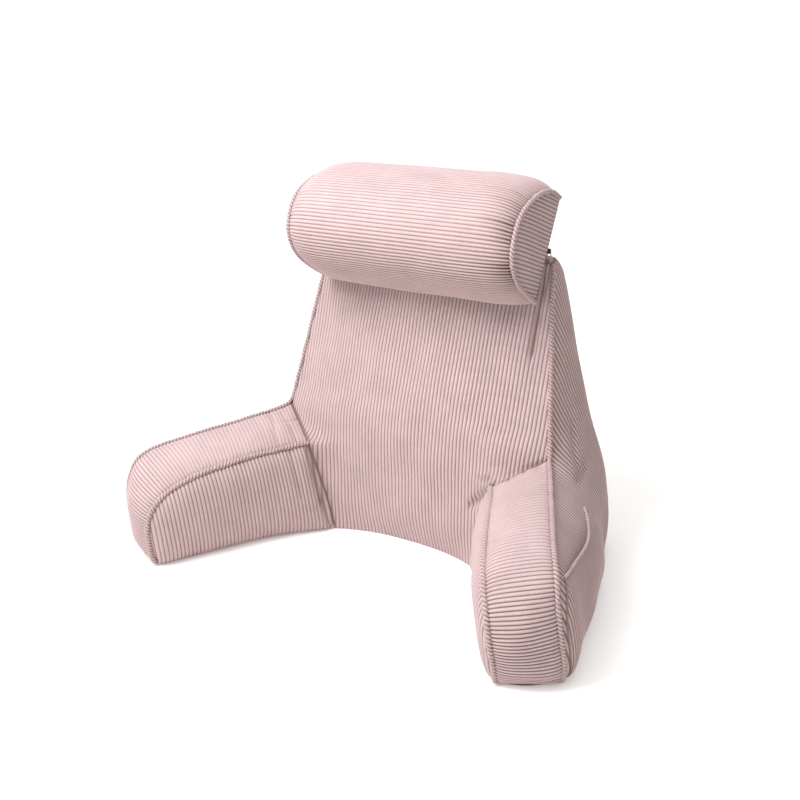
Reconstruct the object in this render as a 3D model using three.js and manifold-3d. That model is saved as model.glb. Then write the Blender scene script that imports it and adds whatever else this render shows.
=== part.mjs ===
// A reading pillow of wide-wale corduroy: a filled backrest with two filled arms and a neck bolster.
// Millimetres, +Z up. The pillow stands on z = 0 and faces -Y, and +X is its right side from the front.
// Every filled piece is one closed solid that is lofted through rings. A ring is four runs of points,
// one for each cover panel, so the seams between the panels stay crisp and the welts follow them.
import * as THREE from 'three';
import Module from 'manifold-3d';
import { mergeVertices } from 'three/addons/utils/BufferGeometryUtils.js';

// ---- Driving dimensions ----
const BACK_HEIGHT = 481;      // the backrest's top seam above the floor
const FIT_GAP = 0.35;         // left between two pieces that lie on each other
const SKIN_GAP = 1.1;         // left under a thin piece that follows a curved one
const WELT_RADIUS = 3.2;      // corded edge of the cover
const BOLSTER_WELT_RADIUS = 3;
const WELT_END_HEIGHT = 2.5;  // the arms' welts end this high above the floor
const POCKET_WELT_RADIUS = 2.2;
const POCKET_THICKNESS = 2;
const FLAP_THICKNESS = 2;     // the strip that joins the bolster to the backrest's top
const FLAP_FOOT_Y = 59;
const FLAP_HEAD = 494;        // its upper edge above the floor, where the zip's chain starts
const ZIP_CHAIN = { thickness: 2.4, height: 5 };
const SLIDER = { length: 8, thickness: 4, height: 8, pullWidth: 4.5, pullLength: 15, pullThickness: 1.6 };
const PULL_SUNK = 0.25;       // the share of the pull's thickness that lies within the slider's body
const BOLSTER_HALF_LENGTH = 191;
const BOLSTER_FOOT = { y: 16, z: 430 };         // lower corner of the bolster's end panel
const BOLSTER_LEAN = Math.atan2(72, 141);       // how far its flat back leans from upright
const BOLSTER_CHORD = 158;                      // height of its flat back at the ends

// Where the arm is sewn to the backrest: four corners in one slanting plane.
const JOINT_FLOOR_INNER = [134, -46, 0];
const JOINT_SEAM_INNER = [171, -68, 158];
const JOINT_SEAM_OUTER = [240, -17, 198];
const JOINT_FLOOR_OUTER = [278, 111.5, 0];
const JOINT_BULGE = 42;       // the joint's outer edge swells this far, within its plane

// The backrest by height: half the front face's width and its edge's y, the y of the front face on the
// centre line, half the back face's width, its edge's y, and how far the sides and the back swell.
const BACK_LEVELS = [
  { z: 0, frontX: 134, frontY: -46, middleY: -18, rearX: 262, rearY: 150, sideBulge: 0, backBulge: 8 },
  { z: 40, frontX: 143, frontY: -49, middleY: -35, rearX: 264, rearY: 154, sideBulge: 3, backBulge: 18 },
  { z: 79, frontX: 152, frontY: -54, middleY: -41, rearX: 264, rearY: 156, sideBulge: 5, backBulge: 24 },
  { z: 118, frontX: 161, frontY: -61, middleY: -43, rearX: 259, rearY: 157, sideBulge: 8, backBulge: 28 },
  { z: 158, frontX: 171, frontY: -68, middleY: -45, rearX: 252, rearY: 156, sideBulge: 11, backBulge: 30 },
  { z: 178, frontX: 205, frontY: -42, middleY: -45, rearX: 247, rearY: 155, sideBulge: 14, backBulge: 30 },
  { z: 198, frontX: 240, frontY: -17, middleY: -44, rearX: 241, rearY: 154, sideBulge: 16, backBulge: 30 },
  { z: 240, frontX: 234, frontY: -6, middleY: -38, rearX: 230, rearY: 151, sideBulge: 17, backBulge: 29 },
  { z: 290, frontX: 226, frontY: 7, middleY: -24, rearX: 218, rearY: 146, sideBulge: 16, backBulge: 27 },
  { z: 340, frontX: 219, frontY: 20, middleY: -8, rearX: 208, rearY: 140, sideBulge: 14, backBulge: 24 },
  { z: 390, frontX: 211, frontY: 33, middleY: 8, rearX: 199, rearY: 132, sideBulge: 12, backBulge: 20 },
  { z: 440, frontX: 204, frontY: 46, middleY: 26, rearX: 191, rearY: 124, sideBulge: 9, backBulge: 15 },
  { z: 470, frontX: 200, frontY: 55, middleY: 40, rearX: 186, rearY: 113, sideBulge: 6, backBulge: 9 },
  { z: BACK_HEIGHT, frontX: 199, frontY: 57, middleY: 46, rearX: 185, rearY: 102, sideBulge: 4, backBulge: 6 },
];
const TOP_CROWN = 9;
const FRONT_SHARPNESS = { low: 4, high: 2.2 };   // powers by which the front face curves to its edges

// The right arm by station, from its joint to the floor at its front end: the inner and outer seams of
// the strip that runs over the arm and down its front, and the inner and outer edges of its base.
const ARM_STATIONS = [
  { inner: JOINT_SEAM_INNER, outer: JOINT_SEAM_OUTER, innerFloor: [134, -46], outerFloor: [278, 111.5] },
  { inner: [184, -94, 158], outer: [254, -47, 194], innerFloor: [154, -64], outerFloor: [300, 81] },
  { inner: [201, -130, 158], outer: [272, -85, 190], innerFloor: [172, -82], outerFloor: [313, 44] },
  { inner: [227, -190, 155], outer: [300, -143, 183], innerFloor: [212, -133], outerFloor: [332, -30] },
  { inner: [250, -240, 150], outer: [327, -200, 177], innerFloor: [242, -183], outerFloor: [346, -80] },
  { inner: [270, -278, 142], outer: [347, -240, 170], innerFloor: [264, -227], outerFloor: [356, -120] },
  { inner: [285, -303, 127], outer: [361, -264, 159], innerFloor: [278, -256], outerFloor: [361, -158] },
  { inner: [294, -315, 105], outer: [370, -276, 136], innerFloor: [286, -272], outerFloor: [365, -188] },
  { inner: [299, -316, 75], outer: [377, -276, 100], innerFloor: [292, -283], outerFloor: [369, -210] },
  { inner: [303, -310, 38], outer: [380, -270, 55], innerFloor: [298, -293], outerFloor: [370, -236] },
  { inner: [302, -300, 0], outer: [374, -250, 0], innerFloor: [302, -300], outerFloor: [374, -250] },
];
const ARM_STRIP_BULGE = 9;
const ARM_INNER_BULGE = 27;
const ARM_INNER_OUT = new THREE.Vector3(-0.85, -0.52, 0);   // the way the inner panel swells
const ARM_OUTER_BULGE = 28;
// Shares of the arm's length: where it has become full, where its outer panel has left the joint's own
// shape, and between which its panels lose their swelling towards the floor.
const ARM_FULL_AT = 0.12;
const OUTER_FREE_AT = 0.3;
const TAPER = { from: 0.55, to: 0.9 };

// The bolster's end panel: points from its lower back corner round the front to its upper back corner,
// up its flat back and forward from it.
const BOLSTER_END = [
  [0, 0], [1, 30], [4, 63], [13, 92], [32, 114], [62, 123], [92, 118], [119, 98], [141, 71], [154, 42], [158, 0],
];
const BOLSTER_END_CROWN = 3;
const BOLSTER_END_ROWS = 4;   // of facets, from the flat back to the arc
const BOLSTER_REST = 12;      // the flat back clears the backrest's front to this far above its top seam
const BOLSTER_FILL_REACH = 17;   // how fast it fills up from its ends
const BOLSTER_SWELL = { up: 23, down: 15, forward: 22, back: 5 };   // its middle is this much fuller

// The pocket on the right arm's outer panel, as y and z: its mouth from the front seam back and up to its
// rear corner, then its other sewn edges round to the front again.
const POCKET_MOUTH = [
  { y: -252, z: 154 }, { y: -232, z: 151 }, { y: -200, z: 146 }, { y: -156, z: 139 }, { y: -117, z: 136 },
  { y: -84, z: 139 }, { y: -59, z: 144 }, { y: -41, z: 151 },
];
const POCKET_SEWN = [
  { y: -24, z: 134 }, { y: -4, z: 108 }, { y: 14, z: 75 }, { y: 29, z: 40 }, { y: 36, z: 9 },
  { y: -240, z: 9 }, { y: -253, z: 28 }, { y: -264, z: 64 }, { y: -269, z: 100 }, { y: -264, z: 132 },
];
const POCKET_MOUTH_STEPS = 24;
const POCKET_CUTTER = { near: 250, far: 420 };   // in x, on either side of the arm's outer panel

// ---- Materials ----
const corduroy = new THREE.MeshStandardMaterial({ color: 0xdcb9bb, roughness: 0.95, metalness: 0 });
const corduroyShade = new THREE.MeshStandardMaterial({ color: 0xd1adb0, roughness: 0.95, metalness: 0 });
const weltCloth = new THREE.MeshStandardMaterial({ color: 0xe3c1c2, roughness: 0.95, metalness: 0 });
const zipNylon = new THREE.MeshStandardMaterial({ color: 0xc9a3a5, roughness: 0.6, metalness: 0 });
const zipSteel = new THREE.MeshStandardMaterial({ color: 0xb9b9bc, roughness: 0.3, metalness: 1 });

// ---- Precision ----
const WELD = 1e-3;            // corners this near are one
const HALVINGS = 40;          // enough to find a share to the last digit that matters
const OUTSIDE = 1000;         // farther from the middle than any surface, where a ray starts
const CORD_SIDES = 8;

// ---- Curves and runs of points ----
const point = (x, y, z) => new THREE.Vector3(x, y, z);
const fromArray = (p) => new THREE.Vector3(p[0], p[1], p[2] ?? 0);
const mix = (a, b, share) => a.clone().lerp(b, share);
const hump = (share) => Math.sin(Math.PI * share);
const lerp = THREE.MathUtils.lerp;

// Points at equal steps of the parameter on a smooth curve through the given ones.
function smoothRun(points, steps) {
  return new THREE.CatmullRomCurve3(points, false, 'catmullrom', 0.5).getPoints(steps);
}

// A run from one point to another that swells towards a direction, most at its middle.
function swollenRun(from, to, steps, direction, height) {
  const run = [];
  for (let i = 0; i <= steps; i++) {
    const share = i / steps;
    run.push(mix(from, to, share).addScaledVector(direction, height * hump(share)));
  }
  return run;
}

const mirrored = (p) => point(-p.x, p.y, p.z);
const mirroredRun = (run) => run.map(mirrored);
const reversed = (run) => [...run].reverse();

// ---- Solids ----
// Triangles of a grid of points. Its rows run so that (next in row) x (next row) faces outwards.
function gridTriangles(grid) {
  const soup = [];
  for (let r = 0; r + 1 < grid.length; r++) {
    for (let c = 0; c + 1 < grid[r].length; c++) {
      const [a, b, d, e] = [grid[r][c], grid[r][c + 1], grid[r + 1][c + 1], grid[r + 1][c]];
      soup.push(a, b, d, a, d, e);
    }
  }
  return soup;
}

// One closed geometry from loose triangles: equal corners become one, and flat slivers go.
function closedGeometry(soup) {
  const loose = new THREE.BufferGeometry().setFromPoints(soup);
  const merged = mergeVertices(loose, WELD);
  const index = merged.getIndex().array;
  const kept = [];
  for (let i = 0; i < index.length; i += 3) {
    const [a, b, c] = [index[i], index[i + 1], index[i + 2]];
    if (a !== b && b !== c && c !== a) kept.push(a, b, c);
  }
  merged.setIndex(kept);
  merged.computeVertexNormals();
  return merged;
}

// A patch that fills four runs: bottom and top go the same way, and so do left and right.
function fourSided(bottom, top, left, right, crown = () => null) {
  const grid = [];
  for (let r = 0; r < left.length; r++) {
    const v = r / (left.length - 1);
    const row = [];
    for (let c = 0; c < bottom.length; c++) {
      const u = c / (bottom.length - 1);
      const across = mix(left[r], right[r], u);
      const along = mix(bottom[c], top[c], v);
      const corners = mix(mix(bottom[0], bottom.at(-1), u), mix(top[0], top.at(-1), u), v);
      const p = across.add(along).sub(corners);
      const lift = crown(u, v);
      row.push(lift ? p.add(lift) : p);
    }
    grid.push(row);
  }
  return grid;
}

const flipped = (grid) => grid.map(reversed);

function solidMesh(name, soup, material) {
  const mesh = new THREE.Mesh(closedGeometry(soup), material);
  mesh.name = name;
  return mesh;
}

// The mirror image of a solid across x = 0, with its triangles turned to face outwards again.
function mirrorSoup(soup) {
  const out = [];
  for (let i = 0; i < soup.length; i += 3) {
    out.push(mirrored(soup[i]), mirrored(soup[i + 2]), mirrored(soup[i + 1]));
  }
  return out;
}

// A path through given nodes, straight between them, so that a welt keeps to the seam's own corners.
class NodePath extends THREE.Curve {
  constructor(nodes) {
    super();
    this.nodes = nodes;
  }

  getPoint(t) {
    const place = t * (this.nodes.length - 1);
    const first = Math.min(Math.floor(place), this.nodes.length - 2);
    return mix(this.nodes[first], this.nodes[first + 1], place - first);
  }

  getPointAt(u) {
    return this.getPoint(u);
  }

  getTangentAt(u) {
    const step = 0.5 / (this.nodes.length - 1);
    const ahead = this.getPoint(Math.min(1, u + step));
    return ahead.sub(this.getPoint(Math.max(0, u - step))).normalize();
  }
}

// A round cord through the nodes, closed at both ends.
function cordMesh(name, nodes, radius) {
  const outline = new THREE.Shape();
  for (let i = 0; i < CORD_SIDES; i++) {
    const angle = (2 * Math.PI * i) / CORD_SIDES;
    const [x, y] = [radius * Math.cos(angle), radius * Math.sin(angle)];
    if (i === 0) outline.moveTo(x, y);
    else outline.lineTo(x, y);
  }
  const geometry = new THREE.ExtrudeGeometry(outline, {
    steps: nodes.length - 1,
    extrudePath: new NodePath(nodes),
    bevelEnabled: false,
  });
  const mesh = new THREE.Mesh(geometry, weltCloth);
  mesh.name = name;
  return mesh;
}

// Nodes of a welt: each seam point moved squarely out of the seam, away from the two panels that meet
// there. Where a panel has run out to a point, at an end, the last node's direction serves.
function weltNodes(seam, besideA, besideB, radius) {
  const outs = seam.map((p, i) => {
    const before = seam[Math.max(i - 1, 0)];
    const after = seam[Math.min(i + 1, seam.length - 1)];
    const along = after.clone().sub(before).normalize();
    const [a, b] = [besideA[i], besideB[i]].map((q) => q.clone().sub(p).projectOnPlane(along));
    return Math.min(a.length(), b.length()) < 1 ? null : a.normalize().add(b.normalize()).normalize().negate();
  });
  const known = (i) => outs.slice(0, i + 1).findLast(Boolean) ?? outs.find(Boolean);
  return seam.map((p, i) => p.clone().addScaledVector(known(i), radius + FIT_GAP));
}

// ---- The joint between arm and backrest ----
const jointPlane = new THREE.Plane().setFromCoplanarPoints(
  fromArray(JOINT_SEAM_OUTER), fromArray(JOINT_SEAM_INNER), fromArray(JOINT_FLOOR_INNER));

if (jointPlane.normal.y < 0) jointPlane.negate();   // it points into the backrest

// Keeps a point at least this far on one side of the right joint: 1 is the backrest's side, -1 the arm's.
// It moves level, so the base stays flat.
function besideJoint(p, side, clearance) {
  const short = clearance - side * jointPlane.distanceToPoint(p);
  const { x, y } = jointPlane.normal;
  return short > 0 ? p.clone().addScaledVector(point(x, y, 0), (side * short) / (x * x + y * y)) : p;
}

// The joint's outer edge, from the outer seam down to the floor: a swollen run within the plane.
const jointOuterEdge = (() => {
  const top = fromArray(JOINT_SEAM_OUTER);
  const foot = fromArray(JOINT_FLOOR_OUTER);
  foot.addScaledVector(jointPlane.normal, -jointPlane.distanceToPoint(foot));
  foot.z = 0;
  const out = foot.clone().sub(top).cross(jointPlane.normal).normalize();
  if (out.x < 0) out.negate();
  return { top, foot, out };
})();

function jointOuterAt(height) {
  const { top, foot, out } = jointOuterEdge;
  // The swelling lifts a point as well, so the share down the edge is found by halving.
  let [low, high] = [0, 1];
  for (let i = 0; i < HALVINGS; i++) {
    const share = (low + high) / 2;
    if (lerp(top.z, foot.z, share) + out.z * JOINT_BULGE * hump(share) > height) low = share;
    else high = share;
  }
  return mix(top, foot, low).addScaledVector(out, JOINT_BULGE * hump(low));
}

// ---- Backrest ----
const FRONT_STEPS = 16;
const JOINT_STEPS = 3;        // across the joint, and none of any width above it
const SIDE_STEPS = 5;

// The front face: nearly flat across its middle, and curving back to the seams at its edges, or
// forward to the arms low down.
function frontRun(level) {
  const sharpness = level.z <= JOINT_SEAM_INNER[2] ? FRONT_SHARPNESS.low : FRONT_SHARPNESS.high;
  const edge = besideJoint(point(level.frontX, level.frontY, level.z), 1, 0);
  const run = [];
  for (let i = 0; i <= FRONT_STEPS; i++) {
    const across = (2 * i) / FRONT_STEPS - 1;
    const depth = Math.abs(across) ** sharpness;
    run.push(point(edge.x * across, lerp(level.middleY, edge.y, depth), level.z));
  }
  return run;
}

function backrestLevel(level) {
  const front = frontRun(level);
  const corner = front.at(-1);
  const rear = point(level.rearX, level.rearY, level.z);
  const joined = level.z < JOINT_SEAM_OUTER[2];
  const jointOuter = joined ? jointOuterAt(level.z) : corner;
  const joint = swollenRun(corner, jointOuter, JOINT_STEPS, point(1, 0, 0), 0);
  const side = swollenRun(jointOuter, rear, SIDE_STEPS, point(1, 0, 0), level.sideBulge);
  const right = [...joint, ...side.slice(1)];
  const back = swollenRun(rear, mirrored(rear), FRONT_STEPS, point(0, 1, 0), level.backBulge);
  return { front, right, back: reversed(back), left: mirroredRun(right) };
}

const backLevels = BACK_LEVELS.map(backrestLevel);

// Lifts the top panel's middle.
function topCrown(u, v) {
  return point(0, 0, TOP_CROWN * Math.sqrt(hump(u)) * hump(v));
}

const backTop = backLevels.at(-1);
const topPanel = fourSided(
  backTop.front, backTop.back, backTop.left.slice(JOINT_STEPS), backTop.right.slice(JOINT_STEPS), topCrown);

function backrestSoup() {
  const base = backLevels[0];
  const ring = (level) => [
    ...level.front, ...level.right.slice(1), ...reversed(level.back).slice(1), ...reversed(level.left).slice(1),
  ];
  return [
    ...gridTriangles(backLevels.map(ring)),
    ...gridTriangles(topPanel),
    ...gridTriangles(flipped(fourSided(base.front, base.back, base.left, base.right))),
  ];
}

// ---- Arm ----
const ARM_STEPS = 20;
const PANEL_STEPS = 7;
const STRIP_STEPS = 4;

const armLine = (key) => smoothRun(ARM_STATIONS.map((s) => fromArray(s[key])), ARM_STEPS);
const armSeams = {
  inner: armLine('inner'),
  outer: armLine('outer'),
  innerFloor: armLine('innerFloor'),
  outerFloor: armLine('outerFloor'),
};

// How full the arm is at a station: flat against the joint, and full a little way along.
const armFill = (share) => Math.min(1, share / ARM_FULL_AT);

// One ring of the arm: up its inner panel, over the strip, down its outer panel and back along the base.
function armRing(i) {
  const share = i / ARM_STEPS;
  const [inner, outer] = [armSeams.inner[i], armSeams.outer[i]];
  const [innerFloor, outerFloor] = [armSeams.innerFloor[i], armSeams.outerFloor[i]];
  const fill = armFill(share);
  const ahead = armSeams.inner[Math.min(i + 1, ARM_STEPS)].clone().sub(armSeams.inner[Math.max(i - 1, 0)]);
  const stripOut = outer.clone().sub(inner).cross(ahead).normalize().negate();
  if (i === ARM_STEPS) stripOut.setZ(0).normalize();
  const tapering = THREE.MathUtils.clamp((TAPER.to - share) / (TAPER.to - TAPER.from), 0, 1);
  const innerRun = swollenRun(innerFloor, inner, PANEL_STEPS, ARM_INNER_OUT, ARM_INNER_BULGE * fill * tapering);
  const stripRun = swollenRun(inner, outer, STRIP_STEPS, stripOut, ARM_STRIP_BULGE * fill);
  // The outer panel starts as the joint's own edge and takes the arm's fullness from there.
  const jointOut = jointOuterEdge.out;
  const free = Math.min(1, share / OUTER_FREE_AT);
  const towards = jointOut.clone().lerp(point(1, 0, 0), free).normalize();
  const height = lerp(JOINT_BULGE, ARM_OUTER_BULGE, free);
  const outerRun = swollenRun(outer, outerFloor, PANEL_STEPS, towards, height * tapering);
  // The base ends in the strip's own edge, which swells forwards along the floor.
  const baseBulge = i === ARM_STEPS ? ARM_STRIP_BULGE : 0;
  const baseRun = swollenRun(outerFloor, innerFloor, STRIP_STEPS, stripOut, baseBulge);
  return { innerRun, stripRun, outerRun, baseRun };
}

const armRings = Array.from({ length: ARM_STEPS + 1 }, (_, i) => armRing(i));

function armSoup() {
  const ring = (r) => [
    ...r.innerRun, ...r.stripRun.slice(1), ...r.outerRun.slice(1), ...r.baseRun.slice(1),
  ];
  const eased = (grid) => grid.map((row) => row.map((p) => besideJoint(p, -1, FIT_GAP)));
  const root = armRings[0];
  const jointFace = fourSided(
    reversed(root.baseRun), root.stripRun, root.innerRun, reversed(root.outerRun));
  return [...gridTriangles(flipped(eased(armRings.map(ring)))), ...gridTriangles(flipped(eased(jointFace)))];
}

// ---- Bolster ----
const BOLSTER_STEPS = 16;     // along the arc, and as many down the flat back
const BOLSTER_STATIONS = [-1, -0.975, -0.93, -0.85, -0.72, -0.5, -0.25, 0, 0.25, 0.5, 0.72, 0.85, 0.93, 0.975, 1];

// The y of the backrest's front face at a place on it, above the arms.
function frontFaceY(x, z) {
  const above = BACK_LEVELS.findIndex((level) => level.z >= z);
  const [low, high] = [BACK_LEVELS[above - 1], BACK_LEVELS[above]];
  const share = (z - low.z) / (high.z - low.z);
  const edge = lerp(low.frontX, high.frontX, share);
  const depth = Math.min(1, Math.abs(x) / edge) ** FRONT_SHARPNESS.high;
  return lerp(lerp(low.middleY, high.middleY, share), lerp(low.frontY, high.frontY, share), depth);
}

// How full the bolster is at x: 0 at its end seams, and nearly 1 a hand's breadth in.
const bolsterFill = (x) => 1 - Math.exp((Math.abs(x) - BOLSTER_HALF_LENGTH) / BOLSTER_FILL_REACH);

// A point of the bolster from its height up the flat back and its depth forward from it.
function bolsterPoint(x, rise, depth) {
  const [sin, cos] = [Math.sin(BOLSTER_LEAN), Math.cos(BOLSTER_LEAN)];
  return point(
    x, BOLSTER_FOOT.y + rise * sin - depth * cos, BOLSTER_FOOT.z + rise * cos + depth * sin);
}

// A point of the flat back: it swells a little, and lies against the backrest below that piece's top.
function bolsterBackPoint(x, share) {
  const fill = bolsterFill(x);
  const rise = lerp(-BOLSTER_SWELL.down * fill, BOLSTER_CHORD + BOLSTER_SWELL.up * fill, share);
  const p = bolsterPoint(x, rise, -BOLSTER_SWELL.back * fill * hump(share));
  if (p.z < BACK_HEIGHT + BOLSTER_REST) {
    p.y = Math.min(p.y, frontFaceY(x, Math.min(p.z, BACK_HEIGHT)) - 2 * FIT_GAP);
  }
  return p;
}

const bolsterArc = smoothRun(BOLSTER_END.map(fromArray), BOLSTER_STEPS);
const fullest = Math.max(...bolsterArc.map((p) => p.y));

function bolsterRing(station) {
  const x = station * BOLSTER_HALF_LENGTH;
  const fill = bolsterFill(x);
  const arc = bolsterArc.map((p) => {
    const share = p.x / BOLSTER_CHORD;
    const rise = p.x + fill * lerp(-BOLSTER_SWELL.down, BOLSTER_SWELL.up, share);
    return bolsterPoint(x, rise, p.y * (1 + (fill * BOLSTER_SWELL.forward) / fullest));
  });
  const back = Array.from({ length: BOLSTER_STEPS + 1 }, (_, i) => bolsterBackPoint(x, i / BOLSTER_STEPS));
  arc[0] = back[0];
  arc[BOLSTER_STEPS] = back[BOLSTER_STEPS];
  return { arc, back };
}

const bolsterRings = BOLSTER_STATIONS.map(bolsterRing);

// The end panel: a patch from the flat back to the arc, crowned outwards.
function bolsterEnd(ring, side) {
  const grid = [];
  for (let r = 0; r <= BOLSTER_END_ROWS; r++) {
    const share = r / BOLSTER_END_ROWS;
    const crown = (u) => point(side * BOLSTER_END_CROWN * hump(share) * hump(u), 0, 0);
    grid.push(ring.arc.map((p, i) => mix(ring.back[i], p, share).add(crown(i / BOLSTER_STEPS))));
  }
  return grid;
}

function bolsterSoup() {
  const rings = bolsterRings.map((ring) => [...ring.arc, ...reversed(ring.back).slice(1)]);
  return [
    ...gridTriangles(flipped(rings)),
    ...gridTriangles(flipped(bolsterEnd(bolsterRings[0], -1))),
    ...gridTriangles(bolsterEnd(bolsterRings.at(-1), 1)),
  ];
}

// ---- Welts ----
// The outer welt edges the side panel: down the backrest's front seam, along the arm and down its front.
function outerWeltNodes() {
  const backSeam = backLevels.filter((level) => level.front[0].z >= JOINT_SEAM_OUTER[2]).reverse();
  const onBack = weltNodes(
    backSeam.map((level) => level.front.at(-1)),
    backSeam.map((level) => level.front.at(-2)),
    backSeam.map((level) => level.right[JOINT_STEPS + 1]),
    WELT_RADIUS);
  const onArm = weltNodes(
    armRings.map((r) => r.outerRun[0]), armRings.map((r) => r.stripRun.at(-2)),
    armRings.map((r) => r.outerRun[1]), WELT_RADIUS);
  return [...onBack.slice(0, -1), ...onArm.slice(1)];
}

// Ends a welt a little above the floor.
function endedAbove(nodes, height) {
  const [before, last] = nodes.slice(-2);
  const share = (before.z - height) / (before.z - last.z);
  return [...nodes.slice(0, -1), mix(before, last, share)];
}

function innerWeltNodes() {
  return weltNodes(
    armRings.map((r) => r.innerRun.at(-1)), armRings.map((r) => r.innerRun.at(-2)),
    armRings.map((r) => r.stripRun[1]), WELT_RADIUS);
}

// The bolster's welt follows the arc of its end panel, from its lower back corner to its upper one.
function bolsterWeltNodes(ring, nextRing, side) {
  const panel = bolsterEnd(ring, side);
  return weltNodes(ring.arc, panel.at(-2), nextRing.arc, BOLSTER_WELT_RADIUS);
}

// ---- Pocket ----
// Where a line meets a grid's surface, with that triangle's normal.
function meetGrid(grid, origin, direction) {
  const ray = new THREE.Ray(origin, direction);
  const soup = gridTriangles(grid);
  for (let i = 0; i < soup.length; i += 3) {
    const corners = soup.slice(i, i + 3);
    const hit = ray.intersectTriangle(...corners, false, new THREE.Vector3());
    if (hit) return { hit, normal: new THREE.Triangle(...corners).getNormal(new THREE.Vector3()) };
  }
  throw new Error(`no surface at ${origin.toArray()}`);
}

// The grid's points moved out along the mean of the normals around them.
function offsetGrid(grid, distance) {
  return grid.map((row, r) => row.map((p, c) => {
    const along = (grid[r + 1] ?? row)[c].clone().sub((grid[r - 1] ?? row)[c]);
    const across = (row[c + 1] ?? p).clone().sub(row[c - 1] ?? p);
    return p.clone().addScaledVector(across.cross(along).normalize(), distance);
  }));
}

// A sheet between two like grids, closed round its edge.
function slabSoup(inner, outer) {
  const edge = (grid) => [
    ...grid[0], ...grid.slice(1).map((row) => row.at(-1)),
    ...reversed(grid.at(-1)).slice(1), ...reversed(grid.slice(0, -1)).map((row) => row[0]),
  ];
  return [
    ...gridTriangles(outer), ...gridTriangles(flipped(inner)), ...gridTriangles([edge(inner), edge(outer)]),
  ];
}

const wasm = await Module();
wasm.setup();

function toSolid(geometry) {
  const bare = geometry.clone();
  bare.deleteAttribute('normal');
  bare.deleteAttribute('uv');
  const merged = mergeVertices(bare, WELD);
  return new wasm.Manifold(new wasm.Mesh({
    numProp: 3,
    vertProperties: merged.getAttribute('position').array,
    triVerts: Uint32Array.from(merged.getIndex().array),
  }));
}

function fromSolid(name, solid, material) {
  const { vertProperties, triVerts } = solid.getMesh();
  const geometry = new THREE.BufferGeometry();
  geometry.setAttribute('position', new THREE.BufferAttribute(vertProperties, 3));
  geometry.setIndex(Array.from(triVerts));
  geometry.computeVertexNormals();
  const mesh = new THREE.Mesh(geometry, material);
  mesh.name = name;
  return mesh;
}

// The outer panel without its last rings, where it runs out to a point.
const pocketWall = flipped(
  armRings.slice(0, -2).map((r) => r.outerRun.map((p) => besideJoint(p, -1, FIT_GAP))));
const pocketMouth = smoothRun(POCKET_MOUTH.map(({ y, z }) => point(0, y, z)), POCKET_MOUTH_STEPS);

function pocketMesh() {
  const slab = closedGeometry(slabSoup(
    offsetGrid(pocketWall, SKIN_GAP), offsetGrid(pocketWall, SKIN_GAP + POCKET_THICKNESS)));
  const outline = new THREE.Shape([...pocketMouth, ...POCKET_SEWN].map(({ y, z }) => new THREE.Vector2(y, z)));
  const { near, far } = POCKET_CUTTER;
  const prism = new THREE.ExtrudeGeometry(outline, { depth: far - near, bevelEnabled: false });
  // The outline's own axes become y and z, and its depth becomes x.
  prism.applyMatrix4(new THREE.Matrix4().makeBasis(point(0, 1, 0), point(0, 0, 1), point(1, 0, 0)));
  prism.translate(near, 0, 0);
  return fromSolid('pocket_right', toSolid(slab).intersect(toSolid(prism)), corduroy);
}

// The cord along the pocket's mouth lies on the arm, just above the pocket's edge.
function pocketWeltNodes() {
  const reach = POCKET_WELT_RADIUS + 2 * FIT_GAP;
  const level = point(1, 0, 0);
  return pocketMouth.map((p, i) => {
    const along = (pocketMouth[i + 1] ?? p).clone().sub(pocketMouth[i - 1] ?? p).normalize();
    const above = point(0, -along.z, along.y);
    const rise = reach * (1 - above.dot(meetGrid(pocketWall, p, level).normal));
    const { hit, normal } = meetGrid(pocketWall, p.clone().addScaledVector(above, rise), level);
    return hit.addScaledVector(normal, reach);
  });
}

// ---- Joining flap and zip ----
// The y of the bolster's flat back at a place.
const bolsterBacks = bolsterRings.map((ring) => ring.back);
const backY = (x, z) => meetGrid(flipped(bolsterBacks), point(x, OUTSIDE, z), point(0, -1, 0)).hit.y;
const topZ = (x, y) => meetGrid(topPanel, point(x, y, OUTSIDE), point(0, 0, -1)).hit.z;

// A strip along the bolster whose section, four points for each x, is carried over the bolster's stations.
const stripPlaces = BOLSTER_STATIONS.slice(1, -1).map((station) => station * BOLSTER_HALF_LENGTH);

function stripMesh(name, section, material) {
  const rings = stripPlaces.map(section);
  const cap = ([a, b, c, d]) => [[a, b], [d, c]];
  const closed = rings.map((ring) => [...ring, ring[0]]);
  return solidMesh(name, [
    ...gridTriangles(closed), ...gridTriangles(flipped(cap(rings[0]))), ...gridTriangles(cap(rings.at(-1))),
  ], material);
}

// The flap stands on the backrest's top, with its upper edge against the bolster's flat back.
function flapSection(x) {
  const head = backY(x, FLAP_HEAD) + SKIN_GAP;
  const front = FLAP_FOOT_Y - FLAP_THICKNESS / 2;
  const rear = FLAP_FOOT_Y + FLAP_THICKNESS / 2;
  const foot = Math.max(topZ(x, front), topZ(x, rear)) + 2 * FIT_GAP;
  return [
    point(x, front, foot), point(x, rear, foot),
    point(x, head + FLAP_THICKNESS, FLAP_HEAD), point(x, head, FLAP_HEAD),
  ];
}

// The chain lies on the flap's upper edge.
function chainSection(x) {
  const foot = FLAP_HEAD + FIT_GAP;
  const head = foot + ZIP_CHAIN.height;
  const [low, high] = [foot, head].map((z) => backY(x, z) + SKIN_GAP + FIT_GAP);
  return [
    point(x, low, foot), point(x, low + ZIP_CHAIN.thickness, foot),
    point(x, high + ZIP_CHAIN.thickness, head), point(x, high, head),
  ];
}

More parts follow.
